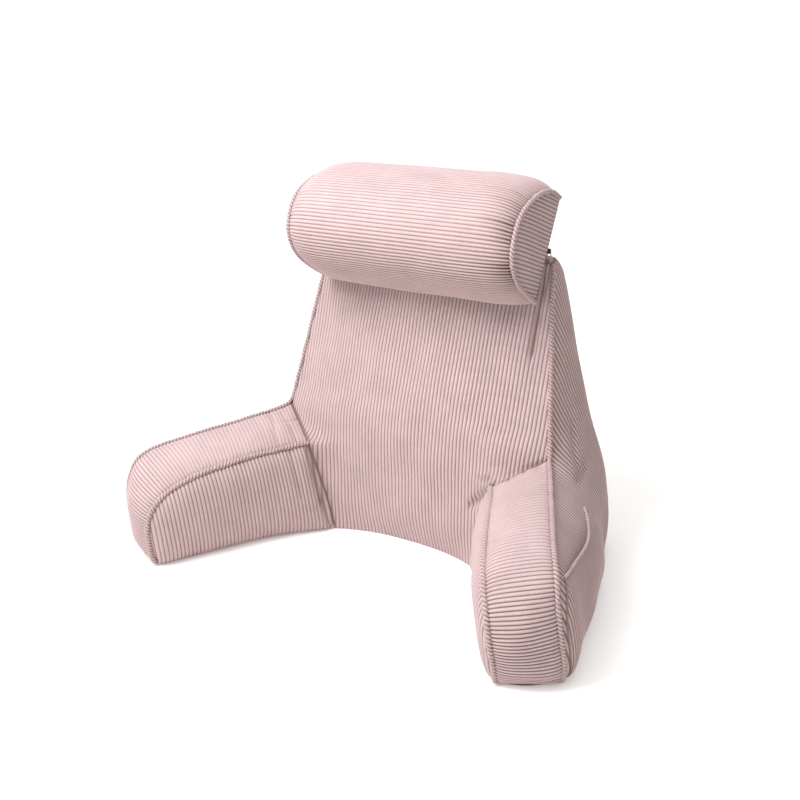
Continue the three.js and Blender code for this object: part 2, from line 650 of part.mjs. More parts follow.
// The slider at the chain's right end: its body, and its pull hanging from it.
function sliderMesh() {
  const { length, thickness, height, pullWidth, pullLength, pullThickness } = SLIDER;
  const body = new THREE.BoxGeometry(length, thickness, height);
  const pull = new THREE.Shape();
  pull.absarc(0, 0, pullWidth / 2, 0, Math.PI);
  pull.absarc(0, pullWidth / 2 - pullLength, pullWidth / 2, Math.PI, 2 * Math.PI);
  const plate = new THREE.ExtrudeGeometry(pull, { depth: pullThickness, bevelEnabled: false, curveSegments: 6 });
  plate.rotateX(Math.PI / 2).translate(0, thickness / 2 + (1 - PULL_SUNK) * pullThickness, 0);
  const mesh = fromSolid('zip_slider', toSolid(body).add(toSolid(plate)), zipSteel);
  const chainEnd = stripPlaces.at(-1);
  const foot = FLAP_HEAD + FIT_GAP;
  const front = backY(chainEnd, foot + height) + FIT_GAP;
  mesh.position.set(chainEnd + FIT_GAP + length / 2, front + thickness / 2, foot + height / 2);
  return mesh;
}

// ---- Build ----
const group = new THREE.Group();
const rightArm = armSoup();
group.add(solidMesh('backrest', backrestSoup(), corduroy));
group.add(solidMesh('arm_right', rightArm, corduroy));
group.add(solidMesh('arm_left', mirrorSoup(rightArm), corduroy));
group.add(solidMesh('bolster', bolsterSoup(), corduroy));

const outerNodes = endedAbove(outerWeltNodes(), WELT_END_HEIGHT);
const innerNodes = endedAbove(innerWeltNodes(), WELT_END_HEIGHT);
const bolsterNodes = bolsterWeltNodes(bolsterRings.at(-1), bolsterRings.at(-2), 1);
const welts = [
  { name: 'outer_welt', nodes: outerNodes, radius: WELT_RADIUS },
  { name: 'inner_welt', nodes: innerNodes, radius: WELT_RADIUS },
  { name: 'bolster_welt', nodes: bolsterNodes, radius: BOLSTER_WELT_RADIUS },
];
for (const { name, nodes, radius } of welts) {
  group.add(cordMesh(`${name}_right`, nodes, radius));
  group.add(cordMesh(`${name}_left`, mirroredRun(nodes), radius));
}

group.add(pocketMesh());
group.add(cordMesh('pocket_welt_right', pocketWeltNodes(), POCKET_WELT_RADIUS));
group.add(stripMesh('joining_flap', flapSection, corduroyShade));
group.add(stripMesh('zip_chain', chainSection, zipNylon));
group.add(sliderMesh());

// The origin is the middle of the object's base.
const { min, max } = new THREE.Box3().setFromObject(group, true);
group.position.y = -(min.y + max.y) / 2;

export default group;
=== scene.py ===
"""A corduroy backrest pillow with two arms, a neck bolster, corded seams and an arm pocket."""
import math

import bpy
import numpy as np
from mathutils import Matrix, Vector


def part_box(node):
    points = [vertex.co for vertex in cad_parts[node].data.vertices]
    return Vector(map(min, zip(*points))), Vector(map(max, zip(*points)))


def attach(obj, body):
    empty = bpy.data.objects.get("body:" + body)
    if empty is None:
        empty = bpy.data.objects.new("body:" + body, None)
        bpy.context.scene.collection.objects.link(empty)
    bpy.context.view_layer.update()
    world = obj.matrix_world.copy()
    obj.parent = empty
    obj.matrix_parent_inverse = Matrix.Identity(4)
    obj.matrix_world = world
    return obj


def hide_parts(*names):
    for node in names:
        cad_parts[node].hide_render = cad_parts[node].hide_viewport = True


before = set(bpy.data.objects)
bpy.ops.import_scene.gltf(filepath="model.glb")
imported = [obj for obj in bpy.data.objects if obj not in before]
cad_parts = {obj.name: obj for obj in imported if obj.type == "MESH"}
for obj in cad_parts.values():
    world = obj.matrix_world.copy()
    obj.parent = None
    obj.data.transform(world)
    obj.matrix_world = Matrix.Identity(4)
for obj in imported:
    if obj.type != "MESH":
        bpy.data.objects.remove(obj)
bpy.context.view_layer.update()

bl_info = {
    "name": "Corduroy backrest pillow",
    "version": (1, 0, 0),
    "blender": (4, 5, 0),
    "location": "3D View > Sidebar > Pillow",
    "description": "Makes a backrest pillow of wide-wale corduroy round its packed frame",
    "category": "Object",
}

MILLIMETRE = 0.001
METRE = 1000      # in millimetres, which the pattern below is in

# ---- Sewing pattern: seams of the right half, in millimetres from the frame's middle line ----
# Rows are x, y, z. Their y is measured from the pattern's own zero, which lies this far behind the
# backrest's front corner, so the frame places them.
PATTERN_FRONT = -68.0
PATTERN_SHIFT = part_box("backrest")[0][1] * METRE - PATTERN_FRONT
EDGE_SAMPLES = 101      # along the seams that cross the backrest

SEAM_ROWS = {
    # the backrest's corded front edge, from its top to the arm's root
    "cord": [(199, 57, 481), (201, 53, 463), (204, 46, 440), (211, 33, 390), (219, 20, 340), (226, 7, 290),
             (234, -6, 240), (238, -12, 215), (241, -20, 201)],
    # the arm's corded outer edge, from its root along the top and down the front
    "outer": [(241, -20, 201), (245, -29, 197), (254, -46, 193), (270, -80, 189), (289, -120, 184),
              (308, -160, 181), (327, -200, 176), (342, -230, 172), (353, -250, 167), (363, -266, 155),
              (370, -276, 132), (376, -278, 100), (380, -273, 62), (380, -264, 24), (372, -252, 0)],
    # the arm's corded inner edge
    "inner": [(171, -68, 158), (188, -100, 157), (201, -130, 157), (214, -160, 157), (227, -190, 155),
              (241, -220, 152), (255, -250, 147), (267, -274, 139), (280, -296, 126), (291, -311, 106),
              (297, -317, 86), (300, -317, 64), (302, -313, 42), (303, -308, 18), (302, -300, 0)],
    # the plain seam between the backrest's front and the arm, then over the arm
    "joint": [(134, -46, 0), (143, -49, 40), (152, -54, 79), (161, -61, 118), (171, -68, 158)],
    "root": [(171, -68, 158), (206, -43, 180), (241, -20, 201)],
    # round the base
    "floor_inner": [(134, -46, 0), (180, -90, 0), (230, -160, 0), (269, -237, 0), (302, -300, 0)],
    "floor_front": [(302, -300, 0), (340, -283, 0), (372, -252, 0)],
    "floor_outer": [(372, -252, 0), (361, -210, 0), (351, -156, 0), (340, -102, 0), (326, -52, 0),
                    (302, 44, 0), (274, 108, 0), (262, 150, 0)],
    # the backrest's rear edge, upwards, and its top's side edge, backwards
    "rear": [(262, 150, 0), (264, 154, 40), (264, 156, 79), (259, 157, 118), (252, 156, 158),
             (241, 154, 198), (230, 151, 240), (218, 146, 290), (208, 140, 340), (199, 132, 390),
             (191, 124, 440), (187, 115, 466), (185, 105, 476)],
    "top_side": [(199, 57, 481), (194, 72, 482), (189, 90, 481), (185, 105, 476)],
}

# The backrest's front face by height: y on the middle line, and half its width and its edge's y.
FRONT_ROWS = [
    # z, middle y, half width, edge y
    (0, -18, 134, -46), (20, -28, 138, -47), (40, -35, 143, -49), (79, -41, 152, -54), (118, -43, 161, -61),
    (158, -45, 171, -68),
    (178, -45, 205, -42), (198, -44, 240, -17), (240, -38, 234, -6), (290, -24, 226, 7), (340, -8, 219, 20),
    (390, 8, 211, 33), (440, 26, 204, 46), (463, 37, 201, 53), (481, 46, 199, 57),
]
BACKREST_TOP = FRONT_ROWS[-1][0]
# By height, the power of the share across by which the front turns from its middle line's y to its edge's.
FRONT_SHARPNESS = [(0, 2.4), (60, 4), (100, 8), (178, 8), (240, 2.4), (481, 2.3)]
# By height, how far the back swells at its middle, and how far its two level seams bow out there.
BACK_SWELL_ROWS = [(0, 8), (40, 18), (79, 24), (118, 28), (158, 30), (240, 29), (340, 24), (440, 15),
                   (476, 6)]
BACK_BOW = {"top_rear": 6, "back_floor": 8}

# Pairs of shares of the arm's inner and outer seams that one wale of its strip joins.
STRIP_PAIRS = [(0, 0), (0.20, 0.175), (0.40, 0.365), (0.55, 0.54), (0.70, 0.68), (0.80, 0.775),
               (0.90, 0.885), (1, 1)]

# Folds across the strip: their distance from the arm's root, where they start and end across the strip,
# their slant over its whole width, their width and their depth.
STRIP_FOLDS = {
    "right": [(9, 0.15, 0.95, -6, 3, 1.8), (268, 0.8, 1.0, 8, 3, 1.8), (288, 0.86, 1.0, 6, 3, 1.5),
              (398, 0.6, 0.95, 14, 4, 2.0)],
    "left": [(22, 0.05, 0.8, 10, 4, 1.5), (48, 0.35, 0.95, -8, 4, 2.0), (56, 0.1, 0.5, 10, 4, 1.2)],
}

# The bolster's end panel: height up its flat back, and depth forward from it, from its upper back
# corner round the front to its lower back corner.
END_ROWS = [(158, 0), (154, 42), (141, 71), (119, 98), (92, 118), (62, 123), (32, 114), (13, 92), (4, 63),
            (1, 30), (0, 0)]
BOLSTER_HALF = 191.0
BOLSTER_CHORD = 158.0      # height of its flat back, measured along it
BOLSTER_FOOT = (16.0, 430.0)      # y and z of the flat back's lower edge
BOLSTER_LEAN = math.atan2(72, 141)      # of the flat back, backwards from upright
# How much its section grows each way from its ends to where it is fullest.
BOLSTER_SWELL = {"up": 22.0, "down": 14.0, "forward": 21.0, "back": 5.0}

# The pocket on the right arm's outer side, as y and z: its mouth from its rear corner forwards, then its
# sewn edges down the front, along the bottom and up the rear.
POCKET_MOUTH = [(-41, 151), (-48, 147), (-59, 144), (-84, 139), (-117, 136), (-156, 139), (-200, 146),
                (-232, 151), (-252, 154)]
POCKET_FRONT = [(-252, 154), (-266, 132), (-272, 100), (-267, 64), (-258, 28), (-247, 6)]
POCKET_FLOOR = [(-247, 6), (-100, 6), (36, 6)]
POCKET_REAR = [(36, 6), (29, 40), (14, 75), (-4, 108), (-24, 134), (-41, 151)]

# Creases, each a soft trough from one place to another: x, y, z twice, then its width and
# depth (a ridge where the depth is negative). The arms' are given for the right one.
CREASES = {
    "front": [
        ((190, 0, 352), (188, 0, 444), 5.0, 7.0),
        ((172, 0, 157), (128, 0, 112), 5.0, 8.0),
        ((190, 0, 174), (232, 0, 196), 4.0, 4.5),
        ((-160, 0, 130), (-140, 0, 30), 6.0, 4.0),
    ],
    "outer_right": [
        ((285, 34, 176), (300, 2, 170), 6.0, 4.0),
        ((260, 40, 236), (280, 20, 190), 7.0, 3.0),
    ],
    "inner_left": [
        ((165, -74, 148), (151, -62, 60), 6.0, 6.0),
        ((151, -62, 60), (143, -52, 10), 6.0, 6.0),
        ((181, -105, 147), (169, -98, 84), 6.0, 2.5),
    ],
}
# How far the plain panels swell inside their seams, and how far from a seam each swell takes to reach most
# of that.
SWELLS = {"top": [(9.0, 16.0)], "inner": [(21.0, 30.0), (6.0, 6.0)], "bolster_end": [(2.5, 10.0)]}
CREASE_EDGE = 3.0      # how far from a seam a crease takes to reach most of its depth

# Seeds of the chance in each panel's gathers.
SEEDS = {"front": 11, "back": 21, "top": 25, "outer_right": 31, "outer_left": 41, "inner_right": 51,
         "inner_left": 61, "strip_right": 71, "strip_left": 81, "bolster_right": 91, "bolster_left": 92,
         "bolster_end": 101, "pocket": 111}


# ---- Numbers along curves ----
def hermite(knots, values, places):
    """Cubic through the values at the knots, each tangent the slope between its two neighbours."""
    knots, values = np.asarray(knots, float), np.asarray(values, float)
    slopes = np.gradient(values, knots, axis=0) if len(knots) > 2 else np.repeat(
        np.diff(values, axis=0) / np.diff(knots)[0], 2, axis=0)
    cell = np.clip(np.searchsorted(knots, places, side="right") - 1, 0, len(knots) - 2)
    width = knots[cell + 1] - knots[cell]
    u = (places - knots[cell]) / width
    shape = u.shape + (1,) * (values.ndim - 1)
    u, width = u.reshape(shape), width.reshape(shape)
    return ((1 + 2 * u) * (1 - u) ** 2 * values[cell] + u * (1 - u) ** 2 * width * slopes[cell]
            + u * u * (3 - 2 * u) * values[cell + 1] + u * u * (u - 1) * width * slopes[cell + 1])


def smoothstep(value, low, high):
    """0 below low, 1 above high, and a smooth cubic between them."""
    u = np.clip((value - low) / (high - low), 0, 1)
    return u * u * (3 - 2 * u)


def rise(distance, reach):
    """0 at no distance, nearing 1 beyond the reach: 1 - exp(-distance / reach)."""
    return 1 - np.exp(-distance / reach)


def unit(vectors):
    """Each vector divided by its own length."""
    return vectors / np.maximum(np.linalg.norm(vectors, axis=-1, keepdims=True), 1e-9)


def smoothed(points, spread):
    """Rows averaged with their neighbours, weighted by a bell of that spread in rows, out to three spreads.
    The ends stay."""
    reach = int(3 * spread) + 1
    bell = np.exp(-0.5 * (np.arange(-reach, reach + 1) / spread) ** 2)
    bell /= bell.sum()
    # Past each end the rows go on as a point reflection of themselves.
    low = 2 * points[0] - points[reach:0:-1]
    high = 2 * points[-1] - points[-2:-reach - 2:-1]
    long = np.concatenate([low, points, high])
    return np.stack([np.convolve(column, bell, mode="valid") for column in long.T], axis=-1)


class Seam:
    """A curve in space, sampled every millimetre or so, with each sample's share of its length."""

    def __init__(self, points):
        self.points = np.asarray(points, float)
        run = np.r_[0, np.cumsum(np.linalg.norm(np.diff(self.points, axis=0), axis=1))]
        self.length = run[-1]
        self.shares = run / run[-1]

    def at(self, shares):
        """Points at shares of the seam's length, in straight lines between its samples."""
        return np.stack([np.interp(shares, self.shares, self.points[:, k]) for k in range(3)], axis=-1)

    def mirrored(self):
        """The same seam on the other side: x turned to -x."""
        return Seam(self.points * (-1, 1, 1))


def sewn(rows):
    """A seam through rows of points: the cubic through them over the length of their straight lines."""
    rows = np.asarray(rows, float)
    knots = np.r_[0, np.cumsum(np.linalg.norm(np.diff(rows, axis=0), axis=1))]
    return Seam(hermite(knots, rows, np.linspace(0, knots[-1], int(knots[-1]) + 1)))


def placed(rows):
    """Pattern rows moved into the frame, still in millimetres."""
    return np.asarray(rows, float) + (0, PATTERN_SHIFT, 0)


def front_y(x, z):
    """The front face's y: from the middle line's to the edge's, by a power of the share across."""
    rows, sharp = np.array(FRONT_ROWS, float), np.array(FRONT_SHARPNESS, float)
    middle = hermite(rows[:, 0], rows[:, 1], z)
    half = np.interp(z, rows[:, 0], rows[:, 2])
    edge = np.interp(z, rows[:, 0], rows[:, 3])
    sharpness = np.interp(z, sharp[:, 0], sharp[:, 1])
    share = np.clip(np.abs(x) / half, 0, 1)
    return middle + (edge - middle) * share ** sharpness + PATTERN_SHIFT


def bolster_point(x, up, ahead):
    """A point of the bolster from its height up the flat back and its depth forward from it."""
    sin, cos = math.sin(BOLSTER_LEAN), math.cos(BOLSTER_LEAN)
    y = BOLSTER_FOOT[0] + up * sin - ahead * cos + PATTERN_SHIFT
    return np.stack(np.broadcast_arrays(x, y, BOLSTER_FOOT[1] + up * cos + ahead * sin), -1)


def make_seams():
    """Every seam by name: the pattern's rows, the bolster's ends, their mirror images (x to -x), and the
    level seams across the backrest, which lie on its front or bow out behind by the cosine of the share
    across."""
    seams = {name + "_r": sewn(placed(rows)) for name, rows in SEAM_ROWS.items()}
    end = np.array(END_ROWS, float)
    seams["end_front_r"] = sewn(bolster_point(BOLSTER_HALF, end[:, 0], end[:, 1]))
    seams["end_back_r"] = sewn(bolster_point(BOLSTER_HALF, np.array([0.0, BOLSTER_CHORD]), np.zeros(2)))
    seams.update({name[:-1] + "l": seam.mirrored() for name, seam in seams.items()})
    across = np.linspace(-1, 1, EDGE_SAMPLES)
    for name, (height, _, half, _) in (("front_floor", FRONT_ROWS[0]), ("top_front", FRONT_ROWS[-1])):
        x, z = across * half, np.full(EDGE_SAMPLES, float(height))
        seams[name] = Seam(np.c_[x, front_y(x, z), z])
    hump = np.cos(across * math.pi / 2)
    for name, row, way in (("top_rear", -1, 1), ("back_floor", 0, -1)):
        x, y, z = SEAM_ROWS["rear"][row]
        points = np.c_[way * across * x, y + BACK_BOW[name] * hump, np.full(EDGE_SAMPLES, z)]
        seams[name] = Seam(placed(points))
    return seams


SEAMS = make_seams()


# ---- Smooth faces over a flat outline ----
def in_chunks(work, a, b, size=3000):
    """Runs work over long arrays a part at a time, to save memory."""
    flat_a, flat_b = a.ravel(), b.ravel()
    parts = [work(flat_a[i:i + size], flat_b[i:i + size]) for i in range(0, flat_a.size, size)]
    return np.concatenate(parts).reshape(a.shape)


def spanned(outline, heights, a, b):
    """A smooth height inside a polygon from the heights on it: each corner's weight is the sum of the
    tangents of half the two angles beside it, as seen from the point, over its distance."""
    def work(a, b):
        da, db = outline[:, 0] - a[:, None], outline[:, 1] - b[:, None]
        r = np.hypot(da, db) + 1e-9
        na, nb, nr = np.roll(da, -1, 1), np.roll(db, -1, 1), np.roll(r, -1, 1)
        tangent = (da * nb - db * na) / np.maximum(r * nr + da * na + db * nb, 1e-9)
        weight = (tangent + np.roll(tangent, 1, 1)) / r
        return (weight * heights).sum(1) / weight.sum(1)
    return in_chunks(work, a, b)


def depth_inside(outline, a, b):
    """A smooth distance from a polygon's edges: the integral of 1 / distance cubed along them, to the
    power of -1/2, which near a straight edge is the distance itself."""
    ends = np.roll(outline, -1, 0)
    length = np.linalg.norm(ends - outline, axis=1)
    along = (ends - outline) / length[:, None]

    def work(a, b):
        da, db = a[:, None] - outline[:, 0], b[:, None] - outline[:, 1]
        start = -(da * along[:, 0] + db * along[:, 1])
        off = np.maximum((da * along[:, 1] - db * along[:, 0]) ** 2, 1e-6)
        end = start + length
        total = ((end / np.sqrt(end ** 2 + off) - start / np.sqrt(start ** 2 + off)) / off).sum(1)
        return np.sqrt(2 / np.maximum(total, 1e-9))
    return in_chunks(work, a, b)


def trough(a, b, start, end, width):
    """A bell across the line from start to end, which fades out past its ends over twice the width."""
    length = np.linalg.norm(end - start)
    ua, ub = (end - start) / length
    along = (a - start[0]) * ua + (b - start[1]) * ub
    across = (a - start[0]) * ub - (b - start[1]) * ua
    past = np.maximum(np.maximum(-along, along - length), 0)
    return np.exp(-(across / width) ** 2 - (past / (2 * width)) ** 2)


# The slow unevenness of a filled cover: each wave's turn per millimetre along x, y and z, and its size.
COVER_WAVES = np.array([(0.050, 0.021, 0.032), (-0.031, 0.044, 0.020), (0.024, -0.033, 0.061),
                        (-0.062, -0.028, 0.041), (0.083, 0.052, -0.035)])
COVER_WAVE_SIZES = np.array([0.7, 0.7, 0.5, 0.45, 0.35])
COVER_WAVE_START = 1.9      # how much later each wave starts than the one before


def undulation(points):
    """The sum of each wave's size times the sine of its turn at the point."""
    starts = np.arange(len(COVER_WAVES)) * COVER_WAVE_START
    return (COVER_WAVE_SIZES * np.sin(points @ COVER_WAVES.T + starts)).sum(-1)


COARSE_POINTS = 420      # of an outline, enough for its depths and heights


class Face:
    """A panel's smooth face: a height out of a plane over an outline of seams.

    seams lists (name, forward) round the outline, anticlockwise from outside. axes are three unit vectors:
    across the wales, along them, and out. shape(a, b, depth, spanned height) gives the height."""

    def __init__(self, seams, axes, shape, creases=()):
        self.seams, self.axes, self.shape = seams, np.array(axes, float), shape
        runs = [SEAMS[name].points[::1 if forward else -1][:-1] for name, forward in seams]
        turns = [k + (SEAMS[name].shares if forward else 1 - SEAMS[name].shares[::-1])[:-1]
                 for k, (name, forward) in enumerate(seams)]
        self.rim = np.concatenate(runs) @ self.axes.T
        self.turn = np.concatenate(turns)
        a, b = self.rim[:, 0], self.rim[:, 1]
        if (a * np.roll(b, -1) - b * np.roll(a, -1)).sum() <= 0:
            raise ValueError(f"the panel's seams don't run anticlockwise: {seams}")
        self.coarse = self.rim[::max(1, len(self.rim) // COARSE_POINTS)]
        self.creases = [((placed(start) @ self.axes.T)[:2], (placed(end) @ self.axes.T)[:2], width, deep)
                        for start, end, width, deep in creases]

    def depth(self, a, b):
        """How far inside the outline the points are."""
        return depth_inside(self.coarse[:, :2], a, b)

    def height(self, a, b, depth=None):
        """The face's height out of its plane, by its own shape function."""
        depth = self.depth(a, b) if depth is None else depth
        return self.shape(a, b, depth, spanned(self.coarse[:, :2], self.coarse[:, 2], a, b))

    def folds(self, a, b, depth):
        """How deep the creases lie at the points: each one's depth times its bell, nothing at the seams."""
        total = 0 * a
        for start, end, width, deep in self.creases:
            total = total + deep * trough(a, b, start, end, width) * rise(depth, CREASE_EDGE)
        return total

    def level(self, points):
        """The face's own height where it lies over or under the points."""
        local = points @ self.axes.T
        return self.height(local[..., 0], local[..., 1])


# ---- Wales ----
# Places across one wale where its cross-section is sampled, closer together beside its groove.
WALE_PLACES = np.array([0.0, 0.07, 0.18, 0.33, 0.5, 0.67, 0.82, 0.93])
# Distances from a panel's edge where the rows beside it lie. The last one is also far enough in to show
# which way the cloth faces there.
EDGE_ROWS = np.array([0.0, 1.0, 2.4, 4.6, 8.0])
FURTHER_IN = len(EDGE_ROWS) - 1


def wale_height(phase):
    """A wale's cross-section, a round back between narrow grooves: (1 - place^2.2)^0.8, with place 0 on the
    crest and 1 in the groove."""
    place = np.abs(2 * (phase % 1.0) - 1)
    return (1 - place ** 2.2) ** 0.8


def wale_rows(wales):
    """The phases of a grid's rows over that many whole wales."""
    return np.r_[(np.arange(wales)[:, None] + WALE_PLACES).ravel(), wales]


CHANCES = 512      # chance values before they repeat
GROOVE_WIDTH = 0.34      # of a gathered groove, in wales
GATHER_START = 1.2      # how far from the seam a gather takes to reach most of its depth


def gathers(phase, distance, strength, reach, seed):
    """The pull of a seam on the wales that end at it: every groove deepens by a chance amount, the strength
    times a chance^1.6, in a bell across the groove, and fades out along it as exp(-distance / length), the
    length being 0.4 to 1.6 times the reach."""
    chance = np.random.default_rng(seed).random((2, CHANCES))
    number = np.round(phase).astype(int)
    deep = strength * chance[0][number % CHANCES] ** 1.6
    length = reach * (0.4 + 1.2 * chance[1][number % CHANCES])
    bell = np.exp(-((phase - number) / GROOVE_WIDTH) ** 2)
    return -deep * bell * rise(distance, GATHER_START) * np.exp(-distance / length)


def surface_normals(points):
    """Normals of a grid of points: the cross product of its slopes along rows and columns."""
    return unit(np.cross(np.gradient(points, axis=0), np.gradient(points, axis=1)))


WALE_EDGE = 2.2      # how far from a seam the wales take to reach their full height
COVER_WAVE_EDGE = 14.0      # and the cover's slow waves most of theirs
# Next to a seam the cloth is painted darker as painted shade in the seam's crevice: fully within the first
# distance, not at all past the second, and by this much. The painted shade starts between two heights
# above the floor.
SEAM_NEAR, SEAM_FAR, SEAM_PAINTED_SHADE = 0.8, 3.8, 0.85
SEAM_FROM_FLOOR = (4, 10)
# Painted shade in gathers and creases: each millimetre of a gather or crease takes this much off the
# tone, down to the darkest.
GATHER_PAINTED_SHADE, CREASE_PAINTED_SHADE, DARKEST_PAINTED_SHADE = 0.3, 0.06, 0.15
# The tone at the very edge, where the wales have less than a share of their height: a dark line painted
# along the seam as painted shade.
SEAM_EDGE_PAINTED_SHADE, EDGE_WALES = 0.35, 0.05


class Panel:
    """A piece of corduroy: a grid of points with its wales raised, and where its edges lie on seams.

    phase counts the wales across the grid, along is the length along them in wales, and depth is the
    distance from the seams. The points move out along their normals by relief times the wale's height, plus
    lift, less folds, plus waves times the cover's unevenness. The tone is the wale's height to a power that
    narrows its light crests, times painted shade beside the seams and in the gathers and folds.
    edges maps a seam's name to the places in the grid that lie on it, their shares of the seam's length,
    and the places a few rows further in."""

    def __init__(self, points, phase, along, depth, lift, edges, folds=0.0, crest_sharpness=1.0, relief=1.0,
                 waves=1.0):
        profile = wale_height(phase)
        strength = smoothstep(depth, 0.0, WALE_EDGE)
        normals = surface_normals(points)
        swell = waves * undulation(points) * rise(depth, COVER_WAVE_EDGE)
        height = relief * sizes_mm("wale_depth") * (profile - 0.5) * strength + lift - folds + swell
        height[depth < 1e-3] = 0
        self.grid = points + normals * height[..., None]
        # Painted shade: darker in the gathers and creases, where the cloth lies in shadow.
        shade = np.clip(1 + GATHER_PAINTED_SHADE * lift - CREASE_PAINTED_SHADE * folds, DARKEST_PAINTED_SHADE, 1)
        # Painted shade along the seams' crevices, left out near the floor.
        seam = (1 - smoothstep(depth, SEAM_NEAR, SEAM_FAR)) * smoothstep(points[..., 2], *SEAM_FROM_FLOOR)
        shade = shade * (1 - SEAM_PAINTED_SHADE * seam)
        # Raising the power narrows the light crests; on some panels that paints shade in the grooves.
        self.wale = (np.where(strength > EDGE_WALES, profile ** crest_sharpness, SEAM_EDGE_PAINTED_SHADE) * shade).ravel()
        self.weave = np.stack(np.broadcast_arrays(phase, along), -1).reshape(-1, 2)
        self.edges = edges
        self.triangles = grid_triangles(*points.shape[:2])

    @property
    def points(self):
        """The grid's points in one list."""
        return self.grid.reshape(-1, 3)

    def mirrored(self):
        """The same panel on the other side: x turned to -x, and its triangles turned round."""
        other = Panel.__new__(Panel)
        other.grid = self.grid * (-1, 1, 1)
        other.wale, other.weave = self.wale, self.weave
        other.triangles = self.triangles[:, ::-1]
        other.edges = {name[:-1] + {"r": "l", "l": "r"}[name[-1]]: edge
                       for name, edge in self.edges.items()}
        return other


def grid_triangles(rows, columns):
    """Two triangles for each cell of a grid, facing (next row) x (next column)."""
    index = np.arange(rows * columns).reshape(rows, columns)
    a, b, c, d = index[:-1, :-1], index[1:, :-1], index[1:, 1:], index[:-1, 1:]
    return np.concatenate([np.stack([a, b, c], -1).reshape(-1, 3), np.stack([a, c, d], -1).reshape(-1, 3)])


def sizes_mm(name):
    """A size that the user sets, in millimetres."""
    return getattr(bpy.context.scene.pillow_sizes, name) / MILLIMETRE


TIP_CLEARANCE = 0.2      # between a panel's tip and the next row of points
CORNER_CLEARANCE = 0.12      # between a row of points and a corner of the outline
HAIR = 0.02      # a row shorter than this is the panel's tip
SEAM_GATHERS = (0.9, 14.0)      # strength and reach of the gathers along a plain seam


def cut_panel(face, rows, seed, spacing=1.0, gather=SEAM_GATHERS, crest_sharpness=1.0, relief=1.0):
    """Cuts a panel to its outline, its wales running along the face's second axis, spaced by a multiple
    of the cloth's own spacing, as the filling stretches it. A grid row runs along a wale from one side of
    the outline to the other, with points close together at its ends. Its height is the face's."""
    pitch = spacing * sizes_mm("wale_pitch")
    origin = pitch / 2
    local, turn, sides = face.rim, face.turn, len(face.seams)
    across = local[:, 0]
    first, last, count = int(np.argmin(across)), int(np.argmax(across)), len(across)
    order = (first + np.arange(count + 1)) % count
    going = turn[order] + np.where((first + np.arange(count + 1)) >= count, sides, 0.0)
    split = (last - first) % count
    lower, upper = slice(0, split + 1), slice(split, count + 1)

    corners = across[np.isclose(turn % 1, 0, atol=1e-9)]
    low, high = across.min(), across.max()
    numbers = np.arange(math.floor((low - origin) / pitch) - 1, math.ceil((high - origin) / pitch) + 1)
    q = (origin + pitch * (numbers[:, None] + WALE_PLACES)).ravel()
    q = q[(q > low + TIP_CLEARANCE) & (q < high - TIP_CLEARANCE)]
    q = q[np.abs(q[:, None] - corners).min(1) > CORNER_CLEARANCE]
    q = np.unique(np.round(np.r_[q, corners, low, high], 9))
    q[0], q[-1] = low, high

    def chain(part, backwards):
        """Points and turns at the wales' ends along one side of the outline, from the lowest wale up."""
        step = -1 if backwards else 1
        s = np.maximum.accumulate(across[order[part]][::step])
        near = [np.interp(q, s, local[order[part], k][::step]) for k in range(3)]
        return np.stack(near, -1), np.interp(q, s, going[part][::step])
    bottom, bottom_turn = chain(lower, False)
    top, top_turn = chain(upper, True)

    # The tip's row shrinks to one point.
    tip = (top - bottom)[:, 1] < HAIR
    top[tip] = bottom[tip]

    # Where a wale is short, the rows beside the edge close up.
    length = (top - bottom)[:, 1]
    near = EDGE_ROWS[:, None] * np.clip(length / (4 * EDGE_ROWS[-1]), 0, 1)
    inner = np.linspace(0, 1, rows)[1:-1, None]
    offset = np.concatenate([near, near[-1] + inner * (length - 2 * near[-1]), (length - near)[::-1]]).T
    b = bottom[:, 1:2] + offset
    a = np.repeat(q[:, None], b.shape[1], 1)

    depth = face.depth(a, b)
    rim = np.zeros(depth.shape, bool)
    rim[:, [0, -1]] = rim[[0, -1]] = True
    depth[rim] = 0
    height = face.height(a, b, depth)
    height[:, 0], height[:, -1] = bottom[:, 2], top[:, 2]
    height[tip] = bottom[tip, 2:]
    points = np.stack([a, b, height], -1) @ face.axes
    phase = (q[:, None] - origin) / pitch + 0 * b
    lift = (gathers(phase, offset, *gather, seed)
            + gathers(phase, length[:, None] - offset, *gather, seed + 1))

    width = b.shape[1]
    start = np.arange(len(q)) * width
    turns = np.r_[bottom_turn, top_turn] % sides
    places = np.r_[start, start + width - 1]
    inwards = np.r_[start + FURTHER_IN, start + width - 1 - FURTHER_IN]
    edges = {}
    for k, (name, forward) in enumerate(face.seams):
        share = (turns - k) % sides
        share[share > sides - 1e-6] = 0
        keep = share <= 1 + 1e-6
        share = np.clip(share[keep] if forward else 1 - share[keep], 0, 1)
        sort = np.argsort(share, kind="stable")
        edges[name] = (places[keep][sort], share[sort], inwards[keep][sort])
    return Panel(points, phase, b / pitch, depth, lift, edges, face.folds(a, b, depth), crest_sharpness, relief)


def grid_edges(shape, sides):
    """Edges for a panel from a ready grid, each side given as its name, its place in the grid, the place
    further in, and its points' shares of the seam."""
    index = np.arange(shape[0] * shape[1]).reshape(shape)
    edges = {}
    for name, place, inwards, shares in sides:
        shares = np.asarray(shares, float)
        sort = np.argsort(shares, kind="stable")
        edges[name] = (index[place].ravel()[sort], shares[sort], index[inwards].ravel()[sort])
    return edges


